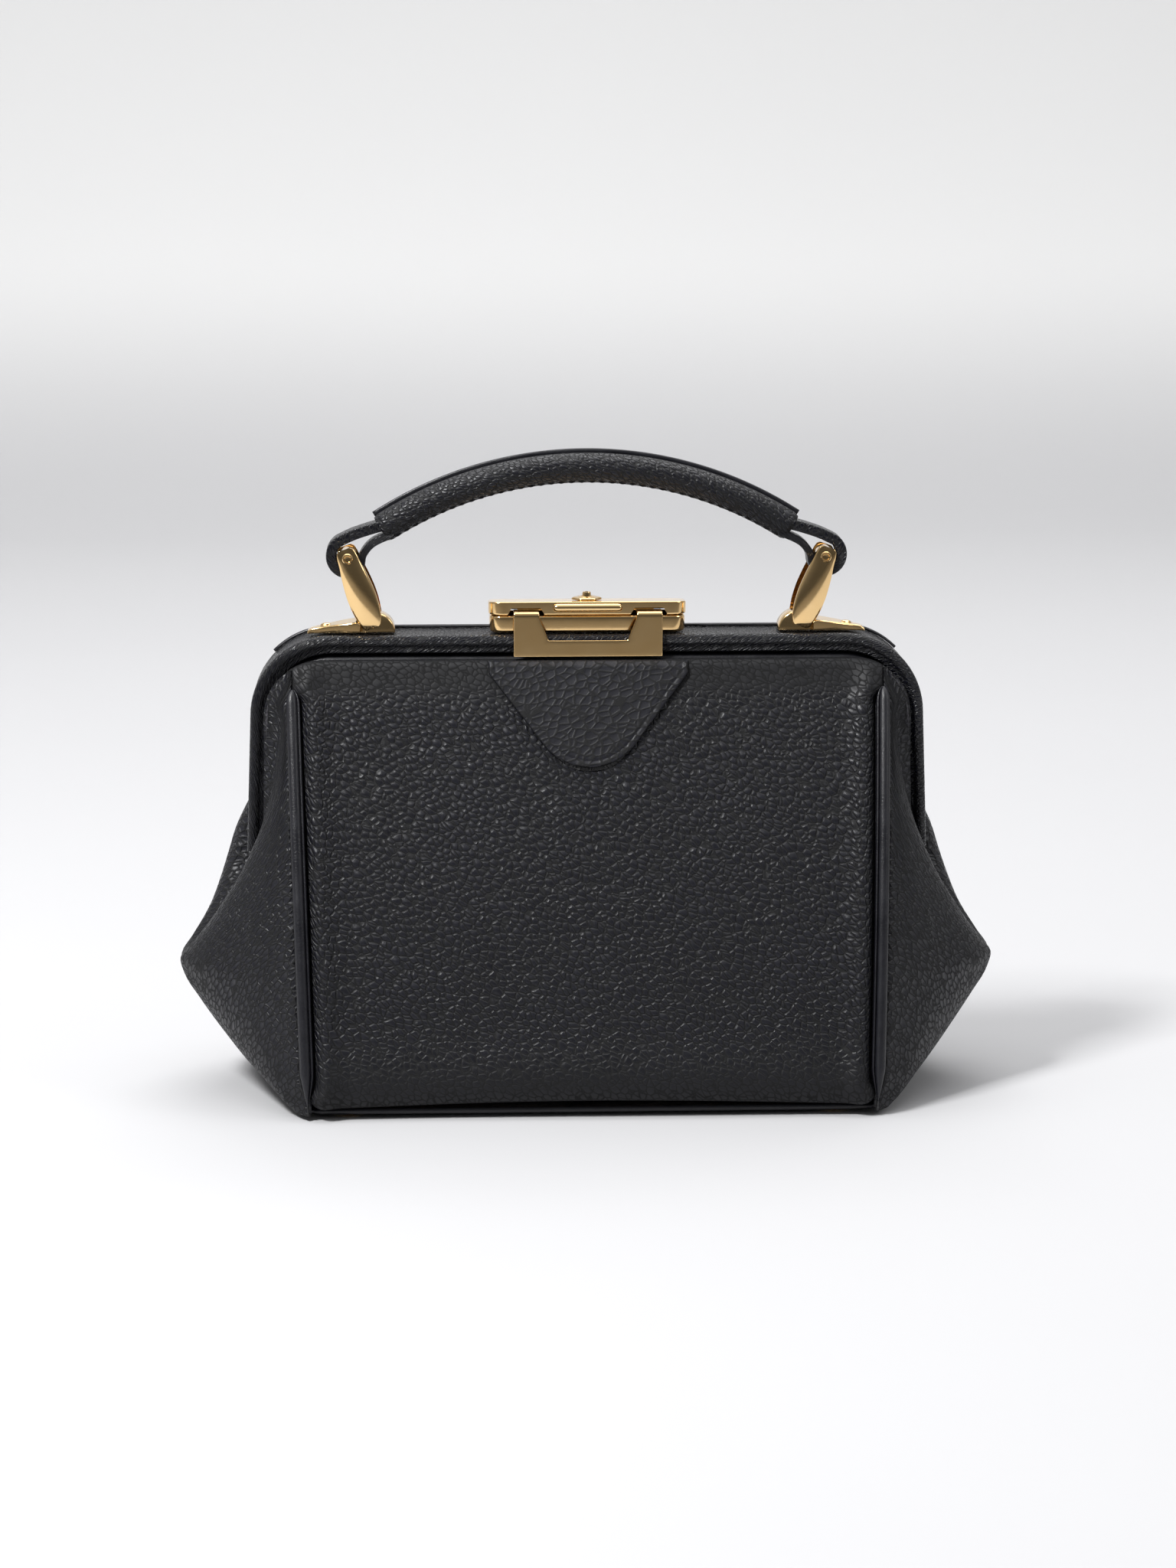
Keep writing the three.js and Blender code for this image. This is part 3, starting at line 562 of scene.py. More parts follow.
def grain_and_shade_from(obj, amount):
    """Writes how deep the leather's pebbles are at each point, which also sets where painted shade darkens
    it; amount takes an array of points.
    """
    co = np.zeros(len(obj.data.vertices) * 3)
    obj.data.vertices.foreach_get("co", co)
    values = amount(co.reshape(-1, 3) * 1000)
    attribute = obj.data.attributes.new("grain_and_shade", "FLOAT", "POINT")
    attribute.data.foreach_set("value", values.astype(np.float32))


# ---- Camera, lights and floor ----
PAPER_FRONT = -470.0
PAPER_FLOOR = (0.50, 0.50, 0.51)
PAPER_WALL = (0.77, 0.77, 0.77)
STUDIO_FLOOR = (0.16, 0.155, 0.15)
WORLD_DIM = 0.08
WORLD_BRIGHT = 0.6
CAMERA_AIM = (0.4, 0.0, 89.9)
CAMERA_DISTANCE = 1200.0
CAMERA_AZIMUTH = math.radians(-2.3)
CAMERA_ELEVATION = math.radians(10.3)
CAMERA_LENS = 91.8


def make_stage():
    """A pale paper sweep that starts just in front of the bag, on a darker studio floor."""
    paper = [(PAPER_FRONT, 0.0), (1400.0, 0.0)] + arc(1400, 900, 900, -90, 0, 16)[1:] + [(2300.0, 3200.0)]
    dark_floor = [(-4000.0, -1.0), (PAPER_FRONT, -1.0)]
    for name, profile, low_down, high_up in (
        ("studio_sweep", paper, PAPER_FLOOR, PAPER_WALL),
        ("studio_floor", dark_floor, STUDIO_FLOOR, STUDIO_FLOOR),
    ):
        points = [(x, y, z) for y, z in profile for x in (-4000.0, 4000.0)]
        faces = [(2 * i, 2 * i + 1, 2 * i + 3, 2 * i + 2) for i in range(len(profile) - 1)]
        s = Shader(name, 0.9)
        height = s.node("ShaderNodeSeparateXYZ", Vector=s.coordinates("Object", 1.0)).outputs[2]
        tone = s.noise(s.coordinates("Object", 300.0), 1.0, 2.0)
        rise = s.ramp(height, 0.0, 160.0, 0.0, 0.95)
        blend = s.math("ADD", rise, s.math("MULTIPLY", tone, 0.05))
        s.put(s.bsdf, "Base Color", s.colours(blend, low_down, high_up))
        s.bsdf.inputs["Specular IOR Level"].default_value = 0.1
        new_object(name, points, faces, [s.material])


def area_light(name, spot, aim, size, power, size_y=None):
    data = bpy.data.lights.new(name, "AREA")
    data.energy = power
    data.size = size * 0.001
    if size_y:
        data.shape = "RECTANGLE"
        data.size_y = size_y * 0.001
    lamp = bpy.data.objects.new(name, data)
    lamp.location = Vector(spot) * 0.001
    lamp.rotation_euler = (Vector(aim) - Vector(spot)).to_track_quat("-Z", "Y").to_euler()
    bpy.context.scene.collection.objects.link(lamp)


def make_world():
    """Soft studio: bright above and behind, dim low down in front, so polished faces stay deep in tone."""
    world = bpy.data.worlds.new("studio")
    bpy.context.scene.world = world
    world.use_nodes = True
    tree = world.node_tree
    texture = tree.nodes.new("ShaderNodeTexCoord")
    dot = tree.nodes.new("ShaderNodeVectorMath")
    dot.operation = "DOT_PRODUCT"
    dot.inputs[1].default_value = (-0.05, 0.6, 0.8)
    tree.links.new(texture.outputs["Generated"], dot.inputs[0])
    up = tree.nodes.new("ShaderNodeMapRange")
    up.interpolation_type = "SMOOTHSTEP"
    tree.links.new(dot.outputs["Value"], up.inputs["Value"])
    limits = {"From Min": -0.5, "From Max": 0.85, "To Min": WORLD_DIM, "To Max": WORLD_BRIGHT}
    for socket, value in limits.items():
        up.inputs[socket].default_value = value
    tree.links.new(up.outputs[0], tree.nodes["Background"].inputs["Strength"])
    tree.nodes["Background"].inputs["Color"].default_value = (0.99, 0.99, 1.0, 1)


def make_camera():
    data = bpy.data.cameras.new("camera")
    data.lens = CAMERA_LENS
    data.sensor_width = 36
    data.clip_start = 0.01
    camera = bpy.data.objects.new("camera", data)
    flat = math.cos(CAMERA_ELEVATION)
    back = Vector((
        math.sin(CAMERA_AZIMUTH) * flat,
        -math.cos(CAMERA_AZIMUTH) * flat,
        math.sin(CAMERA_ELEVATION),
    ))
    camera.location = (Vector(CAMERA_AIM) + back * CAMERA_DISTANCE) * 0.001
    camera.rotation_euler = (-back).to_track_quat("-Z", "Y").to_euler()
    bpy.context.scene.collection.objects.link(camera)
    bpy.context.scene.camera = camera


make_stage()
make_world()
make_camera()
area_light("key", (-650, -560, 1150), (0, 0, 90), 240, 21)
area_light("fill", (1200, -500, 900), (0, 0, 90), 500, 3)
area_light("back", (200, 900, 1300), (0, 0, 120), 1200, 7, size_y=400)
area_light("wall", (0, 700, 2600), (0, 2300, 600), 2500, 46)
bpy.context.scene.view_settings.view_transform = "Standard"


BEND_LOW_Z = 52.0
BEND_HIGH_Z = 118.0


def place(obj, body, slot, *nodes):
    """Attaches a piece to the body it moves with and hides the CAD nodes it stands for; slot is not used."""
    if nodes:
        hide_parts(*nodes)
    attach(obj, body)
    return obj


def place_bending(obj, word, slot, *nodes, low=BEND_LOW_Z, high=BEND_HIGH_Z):
    """Hides the CAD nodes that a piece of soft leather or cloth stands for and bakes its placement into its
    mesh; word, slot, low and high are not used.
    """
    if nodes:
        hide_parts(*nodes)
    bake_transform(obj)


def declare_sheet(grid):
    """Works out the arc lengths along a sheet's grid of outer points and does nothing more with them."""
    uv = grid_uv(grid)


# ---- Panels: front and back ----
def panel_grid():
    """Outer points of the front panel, packed closer near its edges, from the foot up to the frame."""
    edge = [0, 0.5, 1.0, 1.6, 2.3, 3.1, 4.0, 5.2, 6.6, 8.4, 10.6]
    inset = np.concatenate([edge, np.linspace(12.5, 79, 42)])
    columns = [(1, s) for s in inset] + [(-1, s) for s in inset[::-1][1:]]
    foot = [0, 0.004, 0.009, 0.015, 0.023]
    top = [0.972, 0.978, 0.984, 0.989, 0.993, 0.9965, 0.999, 1.0]
    rows = []
    for t in np.concatenate([foot, np.linspace(0.034, 0.965, 90), top]):
        level = mix(PANEL_LOW, PANEL_HIGH - 1, t)
        row = []
        for side, s in columns:
            x = side * max(panel_half(level) - s, 0.0)
            arch = math.cos(min(abs(x) / PIPING_LOW_X, 1) * math.pi / 2) ** 1.3
            low = PANEL_LOW + PANEL_FOOT_ARCH * arch + PANEL_CORNER_LIFT * math.exp(-s / 1.6)
            high = contour_z(x)
            z = mix(low, high, t)
            beside_piping = (seam_half(level) - SEAM_HALF) / PIPING_HALF
            puff = PUFF_BESIDE_PIPING * hump(s - 4.0, 3.0)
            puff -= mix(0.9, 2.9, beside_piping) * math.exp(-s / 0.75)
            puff += PUFF_ABOVE_FOOT * hump(z - low - 7.5, 7)
            tuck = FOOT_TUCK_R * round_over(z - low, FOOT_TUCK_R)
            roll = TOP_ROLL * round_over(high - z, TOP_ROLL_REACH)
            row.append((x, -(panel_y(z) + puff * min(1, (high - z) / 5) - tuck - roll), z))
        rows.append(row)
    rows.append([(x, min(y + 1.4, -8.6), z - 0.3) for x, y, z in rows[-1]])
    return np.array(rows)


def seam_half(z):
    """Half the space the piping takes up: it narrows to a thin seam above and below the piping's ends."""
    top = 1 - smooth((z - (PIPING_TOP - 4)) / 4.5)
    foot = smooth((z - PIPING_FOOT) / 5)
    return SEAM_HALF + PIPING_HALF * min(top, 0.15 + 0.85 * foot)


def panel_half(z):
    return piping_x(z) - seam_half(z)


def wrinkled(points, phase, size=26, depth=0.35):
    """Low, slow unevenness of soft leather, in the direction of Y."""
    x, z = points[..., 0] / size, points[..., 2] / size
    waves = np.sin(x * 1.3 + 1.1 * np.sin(z * 0.9 + phase)) * np.cos(z * 1.1 - 0.8 * np.sin(x * 0.7 + phase))
    out = points.copy()
    out[..., 1] += depth * waves * np.sign(points[..., 1])
    return out


def panel_grain_and_shade(points):
    """Deep pebbles over the middle of a panel, pressed smooth towards its top and foot."""
    # A low value also darkens the colour as painted shade, at the panel's top the shadow under the frame's
    # bead.
    z = points[:, 2]
    top = 0.15 + 0.85 * smooth((PANEL_HIGH - 4 - z) / 14)
    foot = 0.25 + 0.75 * smooth((z - 6) / 26)
    return top * foot


def make_panels():
    for word, side, phase in (("front", -1, 1.7), ("back", 1, 3.4)):
        grid = mirrored(wrinkled(panel_grid(), phase), y=-side)
        finish = [M_PANEL, M_LINING, M_CUT]
        skin = sheet(f"{word}_panel_skin", grid, LEATHER, finish, (0, side * 900, 60))
        grain_and_shade_from(skin, panel_grain_and_shade)
        place_bending(skin, word, "leather", f"{word}_panel")
        declare_sheet(grid)


def make_linings():
    for word, side in (("front", -1), ("back", 1)):
        rows = []
        for z in np.linspace(9, 121, 60):
            half = panel_half(z) - 3 - 0.5 * max(0, z - 112)
            rows.append([(x, side * (panel_y(z) - 2.1), z) for x in np.linspace(-half, half, 60)])
        grid = np.array(rows)
        skin = sheet(f"{word}_lining_skin", grid, 0.5, [M_LINING], (0, 0, 60))
        place_bending(skin, word, "lining_fabric", f"{word}_lining")
        declare_sheet(grid)

    pocket_half = 52
    rows = []
    for z in np.linspace(34, 88, 30):
        bow = 1.2 * smooth((z - 34) / 40)
        rows.append([(x, panel_y(z) - 2.9 - bow * math.cos(x / pocket_half * math.pi / 2), z)
                     for x in np.linspace(-pocket_half, pocket_half, 40)])
    grid = np.array(rows)
    pocket = sheet("inner_pocket_skin", grid, 0.8, [M_LINING], (0, -200, 60))
    place_bending(pocket, "back", "lining_fabric", "inner_pocket")
    declare_sheet(grid)

    low, high = cad("base_lining")
    grid = np.array([[(x, y, high[2] + 0.12 * math.sin(x / 9 + y / 14) * math.sin(y / 11))
                      for x in np.linspace(low[0], high[0], 60)] for y in np.linspace(low[1], high[1], 40)])
    lining = sheet("base_lining_skin", grid, high[2] - low[2], [M_LINING], (0, 0, 900))
    place(lining, "bag", "lining_fabric", "base_lining")
    declare_sheet(grid)


# ---- Piping: a rounded ridge with a flat flange beside it, pointed at both ends ----
CORD_R = 1.62


def make_piping():
    """A round cord wrapped in leather, with the wrap's flat edge beside it on the panel's side."""
    cord = arc(0.35, 0.0, CORD_R, -25, 190, 19)
    flange = [(-1.45, 0.75), (-1.8, 0.85), (-2.0, 0.5), (-2.0, -1.4), (1.9, -1.4)]
    for word, side in (("front", -1), ("back", 1)):
        for hand, sign in (("left", -1), ("right", 1)):
            rings = []
            eased = 0.5 - 0.5 * np.cos(np.linspace(0.08, np.pi - 0.08, 110))
            for t in np.concatenate([[0], eased, [1]]):
                z = mix(PIPING_FOOT, PIPING_TOP, t)
                foot = max(0.02, min(1.0, (z - PIPING_FOOT) / 9))
                top = max(0.02, min(1.0, (PIPING_TOP - z) / 4.2))
                wide = min(foot**0.8, math.sqrt(1 - (1 - top) ** 2))
                tall = min(foot**0.5, math.sqrt(1 - (1 - min(1, top * 1.3)) ** 2))
                cx, cy = piping_x(z), panel_y(z) + 0.15
                rings.append([(sign * (cx + u * wide), side * (cy + v * tall), z) for u, v in cord + flange])
            pipe = tube(f"{hand}_{word}_piping_skin", rings, [M_EDGE])
            place_bending(pipe, word, "leather_edge", f"{hand}_{word}_piping")


def make_seam_backing():
    """The folded seam allowance behind each piping joins the panel to the gusset."""
    for word, side in (("front", -1), ("back", 1)):
        for hand, sign in (("left", -1), ("right", 1)):
            rings = []
            for z in np.linspace(2.4, 123.0, 60):
                cx, cy = piping_x(z), panel_y(z)
                half = 0.6 + 1.5 * seam_half(z) / PIPING_HALF
                section = [(-half, 1.5), (half, 1.7), (half, 2.6), (-half, 2.5)]
                rings.append([(sign * (cx + u), side * (cy - v), z) for u, v in section])
            strip = tube(f"{hand}_{word}_seam_allowance", rings, [M_EDGE])
            place_bending(strip, word, "leather_edge")


# ---- Gussets ----
REAR_BULGE = 6.4  # the rear half stands out further above the ridge
# Front half of the right gusset from the ground up:
# height, belly, ridge, behind the ridge, tuck, fold and valley.
GUSSET_KEYS = [
    (1.6, (86.6, 47), (87.8, 38), (88.1, 32), (88.4, 26), (88.6, 12), 88.6),
    (5.0, (90.4, 44.2), (92.8, 34), (93.6, 28), (94.0, 23), (94.3, 11), 94.3),
    (10, (93.6, 41.2), (99.2, 28), (100.4, 23), (101.0, 18), (101.6, 9), 101.6),
    (18, (97.4, 36.6), (106.6, 20), (108.2, 16), (109.2, 12), (109.9, 6), 109.9),
    (27, (100.8, 31.8), (113.8, 13), (115.2, 10.4), (116.2, 8), (116.9, 4), 116.9),
    (34, (103.2, 28.4), (119.0, 9), (120.3, 7), (120.9, 5.5), (121.2, 2.6), 121.2),
    (38.5, (103.8, 27.8), (121.0, 7.9), (121.8, 6), (122.1, 4.6), (122.2, 2.2), 122.0),
    (43, (103.4, 27.6), (118.4, 8.8), (118.8, 6.6), (118.4, 4.8), (117.0, 2.3), 116.2),
    (52, (101.4, 27.8), (112.2, 11.0), (111.8, 7.4), (110.8, 5.2), (108.4, 2.5), 107.4),
    (60, (98.8, 28.0), (107.2, 13.6), (106.0, 9.2), (104.6, 6.8), (101, 3.6), 98.4),
    (66, (96.8, 28.0), (103.6, 15.6), (102.0, 11.2), (100.6, 9.6), (96, 6), 91.8),
    (74, (94.6, 27.6), (99.8, 17.6), (98.4, 13.0), (97.6, 11.6), (92.8, 10.6), 88.4),
    (84, (92.3, 26.0), (95.8, 19.4), (95.2, 13.8), (96.4, 11.6), (92.9, 10.4), 86),
    (90, (91.3, 24.8), (94.0, 19.8), (94.0, 14.4), (96.3, 11.3), (93, 10.3), 85),
    (98, (90.4, 22.9), (92.2, 19.4), (92.8, 14.8), (96, 11.0), (93, 10.3), 84.5),
    (107, (89.8, 20.0), (90.9, 17.8), (91.8, 14.4), (96, TUCK_Y), (93, 10.2), 84),
    (112.5, (89.8, 17.8), (91.0, 15.6), (92.2, 13.4), (96, TUCK_Y), (92.8, 10.2), 84),
]


def gusset_rows(bulge):
    """Control points of each level of a gusset's half, from the seam round to the valley."""
    rows = []
    for z, belly, ridge, behind, tuck, fold, valley in GUSSET_KEYS:
        seam = (piping_x(z) + seam_half(z), panel_y(z) - 0.9, z)
        more = bulge * hump(z - 76, 20)
        rows.append([
            seam, (belly[0] + more * 0.35, belly[1], z), (ridge[0] + more, ridge[1], z),
            (behind[0] + more * 0.9, behind[1], z), (tuck[0] + more * 0.4, tuck[1], z),
            (*fold, z), (valley, 0.0, z),
        ])
    corner_x = CONTOUR_SIDE_X - CONTOUR_R
    end = math.degrees(math.acos((piping_x(128) + 0.2 - corner_x) / CONTOUR_R))
    for turn in (18, 34, end):
        cos, sin = math.cos(math.radians(turn)), math.sin(math.radians(turn))
        tuck = (corner_x + CONTOUR_R * cos, TUCK_Y, CONTOUR_CORNER_Z + CONTOUR_R * sin)
        last = CONTOUR_CORNER_Z + CONTOUR_R * math.sin(math.radians(end)) - 0.5
        seam_z = mix(CONTOUR_CORNER_Z, last, turn / end)
        seam = (piping_x(seam_z) + seam_half(seam_z), panel_y(seam_z) - 0.9, seam_z)
        belly, ridge, behind = (tuple(mix(a, b, t) for a, b in zip(seam, tuck)) for t in (0.25, 0.5, 0.75))
        belly = (belly[0], belly[1] + 0.8, belly[2])
        ridge = (ridge[0], ridge[1] + 0.6, ridge[2])
        fold = (tuck[0] - 3.0 * cos, 9.8, tuck[2] - 3.0 * sin)
        rows.append([seam, belly, ridge, behind, tuck, fold, (fold[0] - 8, 0.0, fold[2] - 2)])
    return np.array(rows, float)


def gusset_grid(bulge, down=5, across=9):
    keys = gusset_rows(bulge)
    columns = [spline(keys[:, k], down) for k in range(keys.shape[1])]
    levels = np.stack(columns, axis=1)
    return np.array([spline(level, across) for level in levels])


def gusset_grain_and_shade(points):
    """Pebble relief fades on the stretched tip and foot of a gusset, where the same mask darkens the colour
    as painted shade.
    """
    z, x = points[:, 2], np.abs(points[:, 0])
    tip = 1 - 0.55 * smooth((x - 108) / 10)
    foot = 0.5 + 0.5 * smooth((z - 10) / 30)
    return tip * foot


def make_gussets():
    """Each gusset is a front and a back half, with the valley between them as a piece of its own."""
    across = 9
    valley_column = 5 * across
    finish = [M_GUSSET, M_LINING, M_CUT]
    for hand, sign in (("left", -1), ("right", 1)):
        for word, side, bulge in (("front", -1, 0.0), ("back", 1, REAR_BULGE)):
            grid = mirrored(gusset_grid(bulge, across=across), x=sign, y=side)
            above_hinge = grid[:-1, :-1, 2] > 73
            above_hinge[:, :valley_column] = False
            outside = (sign * 900, 0, 30)
            skin = sheet(f"{hand}_gusset_{word}", grid, LEATHER, finish, outside, keep=~above_hinge)
            grain_and_shade_from(skin, gusset_grain_and_shade)
            place_bending(skin, word, "leather", f"{hand}_gusset", low=56.0, high=112.0)
            declare_sheet(grid)

            start = int(np.argmax(grid[:, 0, 2] > 68))
            fold = grid[start:, valley_column:]
            valley = sheet(f"{hand}_valley_{word}", fold, LEATHER, finish, (sign * 900, 0, 90))
            grain_and_shade_from(valley, gusset_grain_and_shade)
            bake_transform(valley)
            declare_sheet(fold)


# ---- Tongue ----
TONGUE_TIP = 99.4
TONGUE_TIP_R = 17.5
TONGUE_HALF = 29.5
TONGUE_TOP = 129.3
TONGUE_SLOPE = 0.8
TONGUE_THICK = 1.25


def tongue_half(z):
    """Half width of the tongue: a round tip that runs into straight slanting sides."""
    turn = math.atan2(1, TONGUE_SLOPE)
    tip_end = TONGUE_TIP + TONGUE_TIP_R * (1 - math.cos(turn))
    rise = max(z - TONGUE_TIP, 0.0)
    if z < tip_end:
        return math.sqrt(2 * TONGUE_TIP_R * rise - rise * rise)
    return min(TONGUE_HALF, TONGUE_TIP_R * math.sin(turn) + TONGUE_SLOPE * (z - tip_end))


def make_tongue():
    """A separate layer of leather with a round edge and a creased line just inside it."""
    tip = TONGUE_TIP + 8 * (1 - np.cos(np.linspace(0, np.pi / 2, 40)))
    levels = np.concatenate([tip, np.linspace(107.9, TONGUE_TOP, 60)])
    border = np.array([(side * tongue_half(z), z) for side in (1, -1) for z in levels])
    rows = []
    for z in levels:
        half = max(tongue_half(z), 0.02)
        row = []
        for t in np.sin(np.linspace(-np.pi / 2, np.pi / 2, 121)):
            gap = np.sqrt(((border - np.array([t * half, z])) ** 2).sum(axis=1)).min()
            rise = TONGUE_THICK * (1 - round_over(gap, 0.7)) * min(1.0, (TONGUE_TOP - z + 0.6) / 2)
            crease = 0.16 * hump(gap - 1.9, 0.4)
            row.append((t * half, -(panel_y(z) + 0.25 + rise - crease), z))
        rows.append(row)
    grid = np.array(rows)
    finish = [M_TONGUE, M_CUT, M_CUT]
    tongue = sheet("tongue_skin", grid, 1.0, finish, (0, -900, 60), uv=grid[..., [0, 2]])
    place_bending(tongue, "front", "leather", "tongue_tab")
    declare_sheet(grid)


# ---- Base ----
def make_base():
    """The base leather dips at its corners and rises a little in the middle."""
    half_x, half_y, corner = 84.0, 48.7, 5.5
    rings = []
    edge = [(2.9, 0.6), (2.5, 0.15), (1.9, 0.0), (1.3, 0.15), (1.0, 0.6), (0.95, 3.0), (0.95, 30.0)]
    for level, inset in edge:
        outline = rounded_rectangle(half_x - inset, half_y - inset, corner)
        rings.append([(x, y, level + math.cos(x / half_x * math.pi / 2) ** 0.7) for x, y in outline])
    place(tube("base_skin", rings[::-1], [M_EDGE]), "bag", "leather", "base_panel")


# ---- Frame covers ----
def frame_stations(arm_steps=10):
    """Points and outward directions along the frame's outer edge, from the right foot over to the left."""
    straight = FRAME_TOP - FRAME_CORNER_R
    cx = FRAME_HALF - FRAME_CORNER_R
    right = []
    for t in np.linspace(0, 1, arm_steps, endpoint=False):
        right.append((FRAME_HALF + ARM_FLARE * (1 - t), mix(HINGE_Z, straight, t), 1.0, 0.0))
    for turn in np.linspace(0, np.pi / 2, 19):
        c, s = math.cos(turn), math.sin(turn)
        right.append((cx + FRAME_CORNER_R * c, straight + FRAME_CORNER_R * s, c, s))
    top = [(x, FRAME_TOP, 0.0, 1.0) for x in np.linspace(cx, -cx, 24)[1:-1]]
    left = [(-x, z, -nx, nz) for x, z, nx, nz in right[::-1]]
    return right + top + left


def sweep_frame(name, section, materials, stations=None):
    """Sweeps a section of [inset, y] points along the frame."""
    rings = []
    for x, z, nx, nz in stations or frame_stations():
        rings.append([(x - nx * inset, y, z - nz * inset) for inset, y in section])
    return tube(name, rings, materials)


def bead_section():
    """A rolled bead along the front edge over the channel, with the leather tucked in behind it."""
    r = 1.78
    bead = [(r - r * math.sin(a), r * math.cos(a) - 8.4) for a in np.radians(np.linspace(10, 235, 24))]
    tail = [(3.5, -9.2), (4.9, -9.25), (5.25, -9.0), (5.4, -8.4)]
    tail += [(5.4, -5.5), (4.85, -5.5), (4.8, -8.95), (3.0, -8.95)]
    return [(2.75, -6.5)] + bead + tail


def band_section():
    """The flat top band, rounded down over the back of the channel and turned in behind it."""
    front = [(2.5, -5.9), (1.3, -6.0), (0.95, -5.6), (0.85, -4.8)]
    front += [(0.75, -2.0), (0.55, 2.0), (0.35, 6.0), (0.25, 8.0)]
    edge = [(1.1 - 0.95 * math.cos(a), 9.0 + 0.95 * math.sin(a)) for a in np.radians(np.linspace(10, 85, 7))]
    back = [(4.0, 9.97), (6.6, 9.95), (7.1, 9.6), (7.2, 9.0), (7.2, 6.0), (7.0, 5.6), (6.7, 5.6)]
    return front + edge + back + [(6.7, 9.1), (2.7, 9.1), (2.6, 8.8)]


def make_frame_covers():
    for word, section in (("front", bead_section()), ("rear", band_section())):
        cover = sweep_frame(f"{word}_cover_skin", section, [M_BAND])
        cover.data.set_sharp_from_angle(angle=math.radians(60))
        place(cover, f"{word}_frame", "leather", f"{word}_frame_cover")

    strip = [(0.05, 7.7), (-0.45, 7.75), (-0.75, 8.1), (-0.8, 8.8), (-0.7, 9.4), (-0.3, 9.75), (0.05, 9.7)]
    overlay = sweep_frame("overlay_skin", strip, [M_EDGE], frame_stations()[19:-19])
    place(overlay, "rear_frame", "leather_edge", "rear_frame_overlay")


def make_welts():
    """A strip of leather under each cover carries the bag's leather round the frame."""
    stations = [p for p in frame_stations(arm_steps=16) if p[1] > 84]
    section = [(5.6, 5.4), (5.6, 7.6), (7.4, 8.9), (10.8, 9.2)]
    section += [(10.8, 8.4), (8.2, 8.0), (6.4, 7.0), (6.3, 5.4)]
    for word, side in (("front", -1), ("rear", 1)):
        welt = sweep_frame(f"{word}_welt", [(inset, side * y) for inset, y in section], [M_EDGE], stations)
        place(welt, f"{word}_frame", "leather_edge")


make_panels()
make_linings()
make_piping()
make_seam_backing()
make_gussets()
make_tongue()
make_base()
make_frame_covers()
make_welts()


# ---- Hardware ----
LOCK_HALF = 29.0
LOCK_DEEP = 7.0
LOCK_SEAM = 141.8
LOCK_LOW = cad("lock_tray")[0][2]
LID_LOW = LOCK_SEAM + 0.25
LID_TOP = 146.0
LID_EDGE_R = 0.5
LID_OVER = 0.3
LID_BACK_DROP = 0.9
CORNER = 4.0
NOTCH_X = 18.2
NOTCH_TOP = 144.2
KEY_Y = 0.5


def box_rings(half_x, half_y, r, profile):
    """Rings of a round-cornered box; profile holds (height, inset) from the bottom to the top."""
    rings = []
    for z, inset in profile:
        outline = rounded_rectangle(half_x - inset, half_y - inset, max(r - inset, 0.6), 10)
        rings.append([(x, y, z) for x, y in outline])
    return rings


def prism(name, half_x, half_y, r, low, high):
    return tube(name, box_rings(half_x, half_y, r, [(low, 0), (high, 0)]), [M_GOLD])


def make_tray():
    """A shallow box with a turned-in foot and a thin lip at the seam."""
    tray = tube("lock_tray_skin", box_rings(LOCK_HALF, LOCK_DEEP, CORNER, [
        (LOCK_LOW, 0.9), (LOCK_LOW + 0.3, 0.35), (LOCK_LOW + 0.9, 0.0), (LOCK_SEAM - 0.9, 0.0),
        (LOCK_SEAM - 0.35, 0.12), (LOCK_SEAM, 0.5),
    ]), [M_GOLD])
    hollow = prism("hollow", LOCK_HALF - 1.1, LOCK_DEEP - 1.1, CORNER - 1, LOCK_LOW + 1.2, LOCK_SEAM + 3)
    carve(tray, [hollow])
    finish_edges(tray, 0.12)
    place(tray, "rear_frame", "brass", "lock_tray")


def lid_notch(x):
    """A cutter for one of the lid's notches, which has round upper corners and flares at its foot."""
    foot = LID_LOW - 0.05
    outline = [(x - 5.6, LID_LOW - 2), (x + 5.6, LID_LOW - 2), (x + 5.6, foot)]
    outline += arc(x + 4.9, LID_LOW + 0.35, 0.5, -60, 0, 3)
    outline += arc(x + 3.9, NOTCH_TOP - 0.8, 0.8, 0, 90, 5) + arc(x - 3.9, NOTCH_TOP - 0.8, 0.8, 90, 180, 5)
    outline += [(x - 5.6, foot)]
    return tube("notch", [[(px, y, pz) for px, pz in outline] for y in (-12.0, -3.5)], [M_GOLD])


def make_lid():
    """A shell that leans back a little, with a notch for each arm of the hasp."""
    edge = LID_TOP - LID_EDGE_R
    profile = [(LID_LOW, 0.35), (LID_LOW + 0.25, 0.05), (LID_LOW + 0.6, 0.0), (edge, 0.0)]
    profile += [(edge + LID_EDGE_R * math.sin(a), LID_EDGE_R * (1 - math.cos(a)))
                for a in np.radians((20, 40, 60, 80, 90))]
    rings = np.array(box_rings(LOCK_HALF + LID_OVER, LOCK_DEEP + LID_OVER, CORNER + 0.2, profile))
    lean = (rings[..., 1] + LOCK_DEEP) / (2 * LOCK_DEEP) * LID_BACK_DROP
    rings[..., 2] -= lean * smooth((rings[..., 2] - LID_LOW) / (LID_TOP - LID_LOW))
    lid = tube("lock_lid_skin", rings, [M_GOLD])
    roof = LID_TOP - LID_BACK_DROP - 1.1
    hollow = prism("hollow", LOCK_HALF - 0.8, LOCK_DEEP - 0.8, CORNER - 1, LID_LOW - 3, roof)
    carve(lid, [hollow, lid_notch(-NOTCH_X), lid_notch(NOTCH_X)])
    finish_edges(lid, 0.14)
    place(lid, "lock_lid", "brass", "lock_lid")


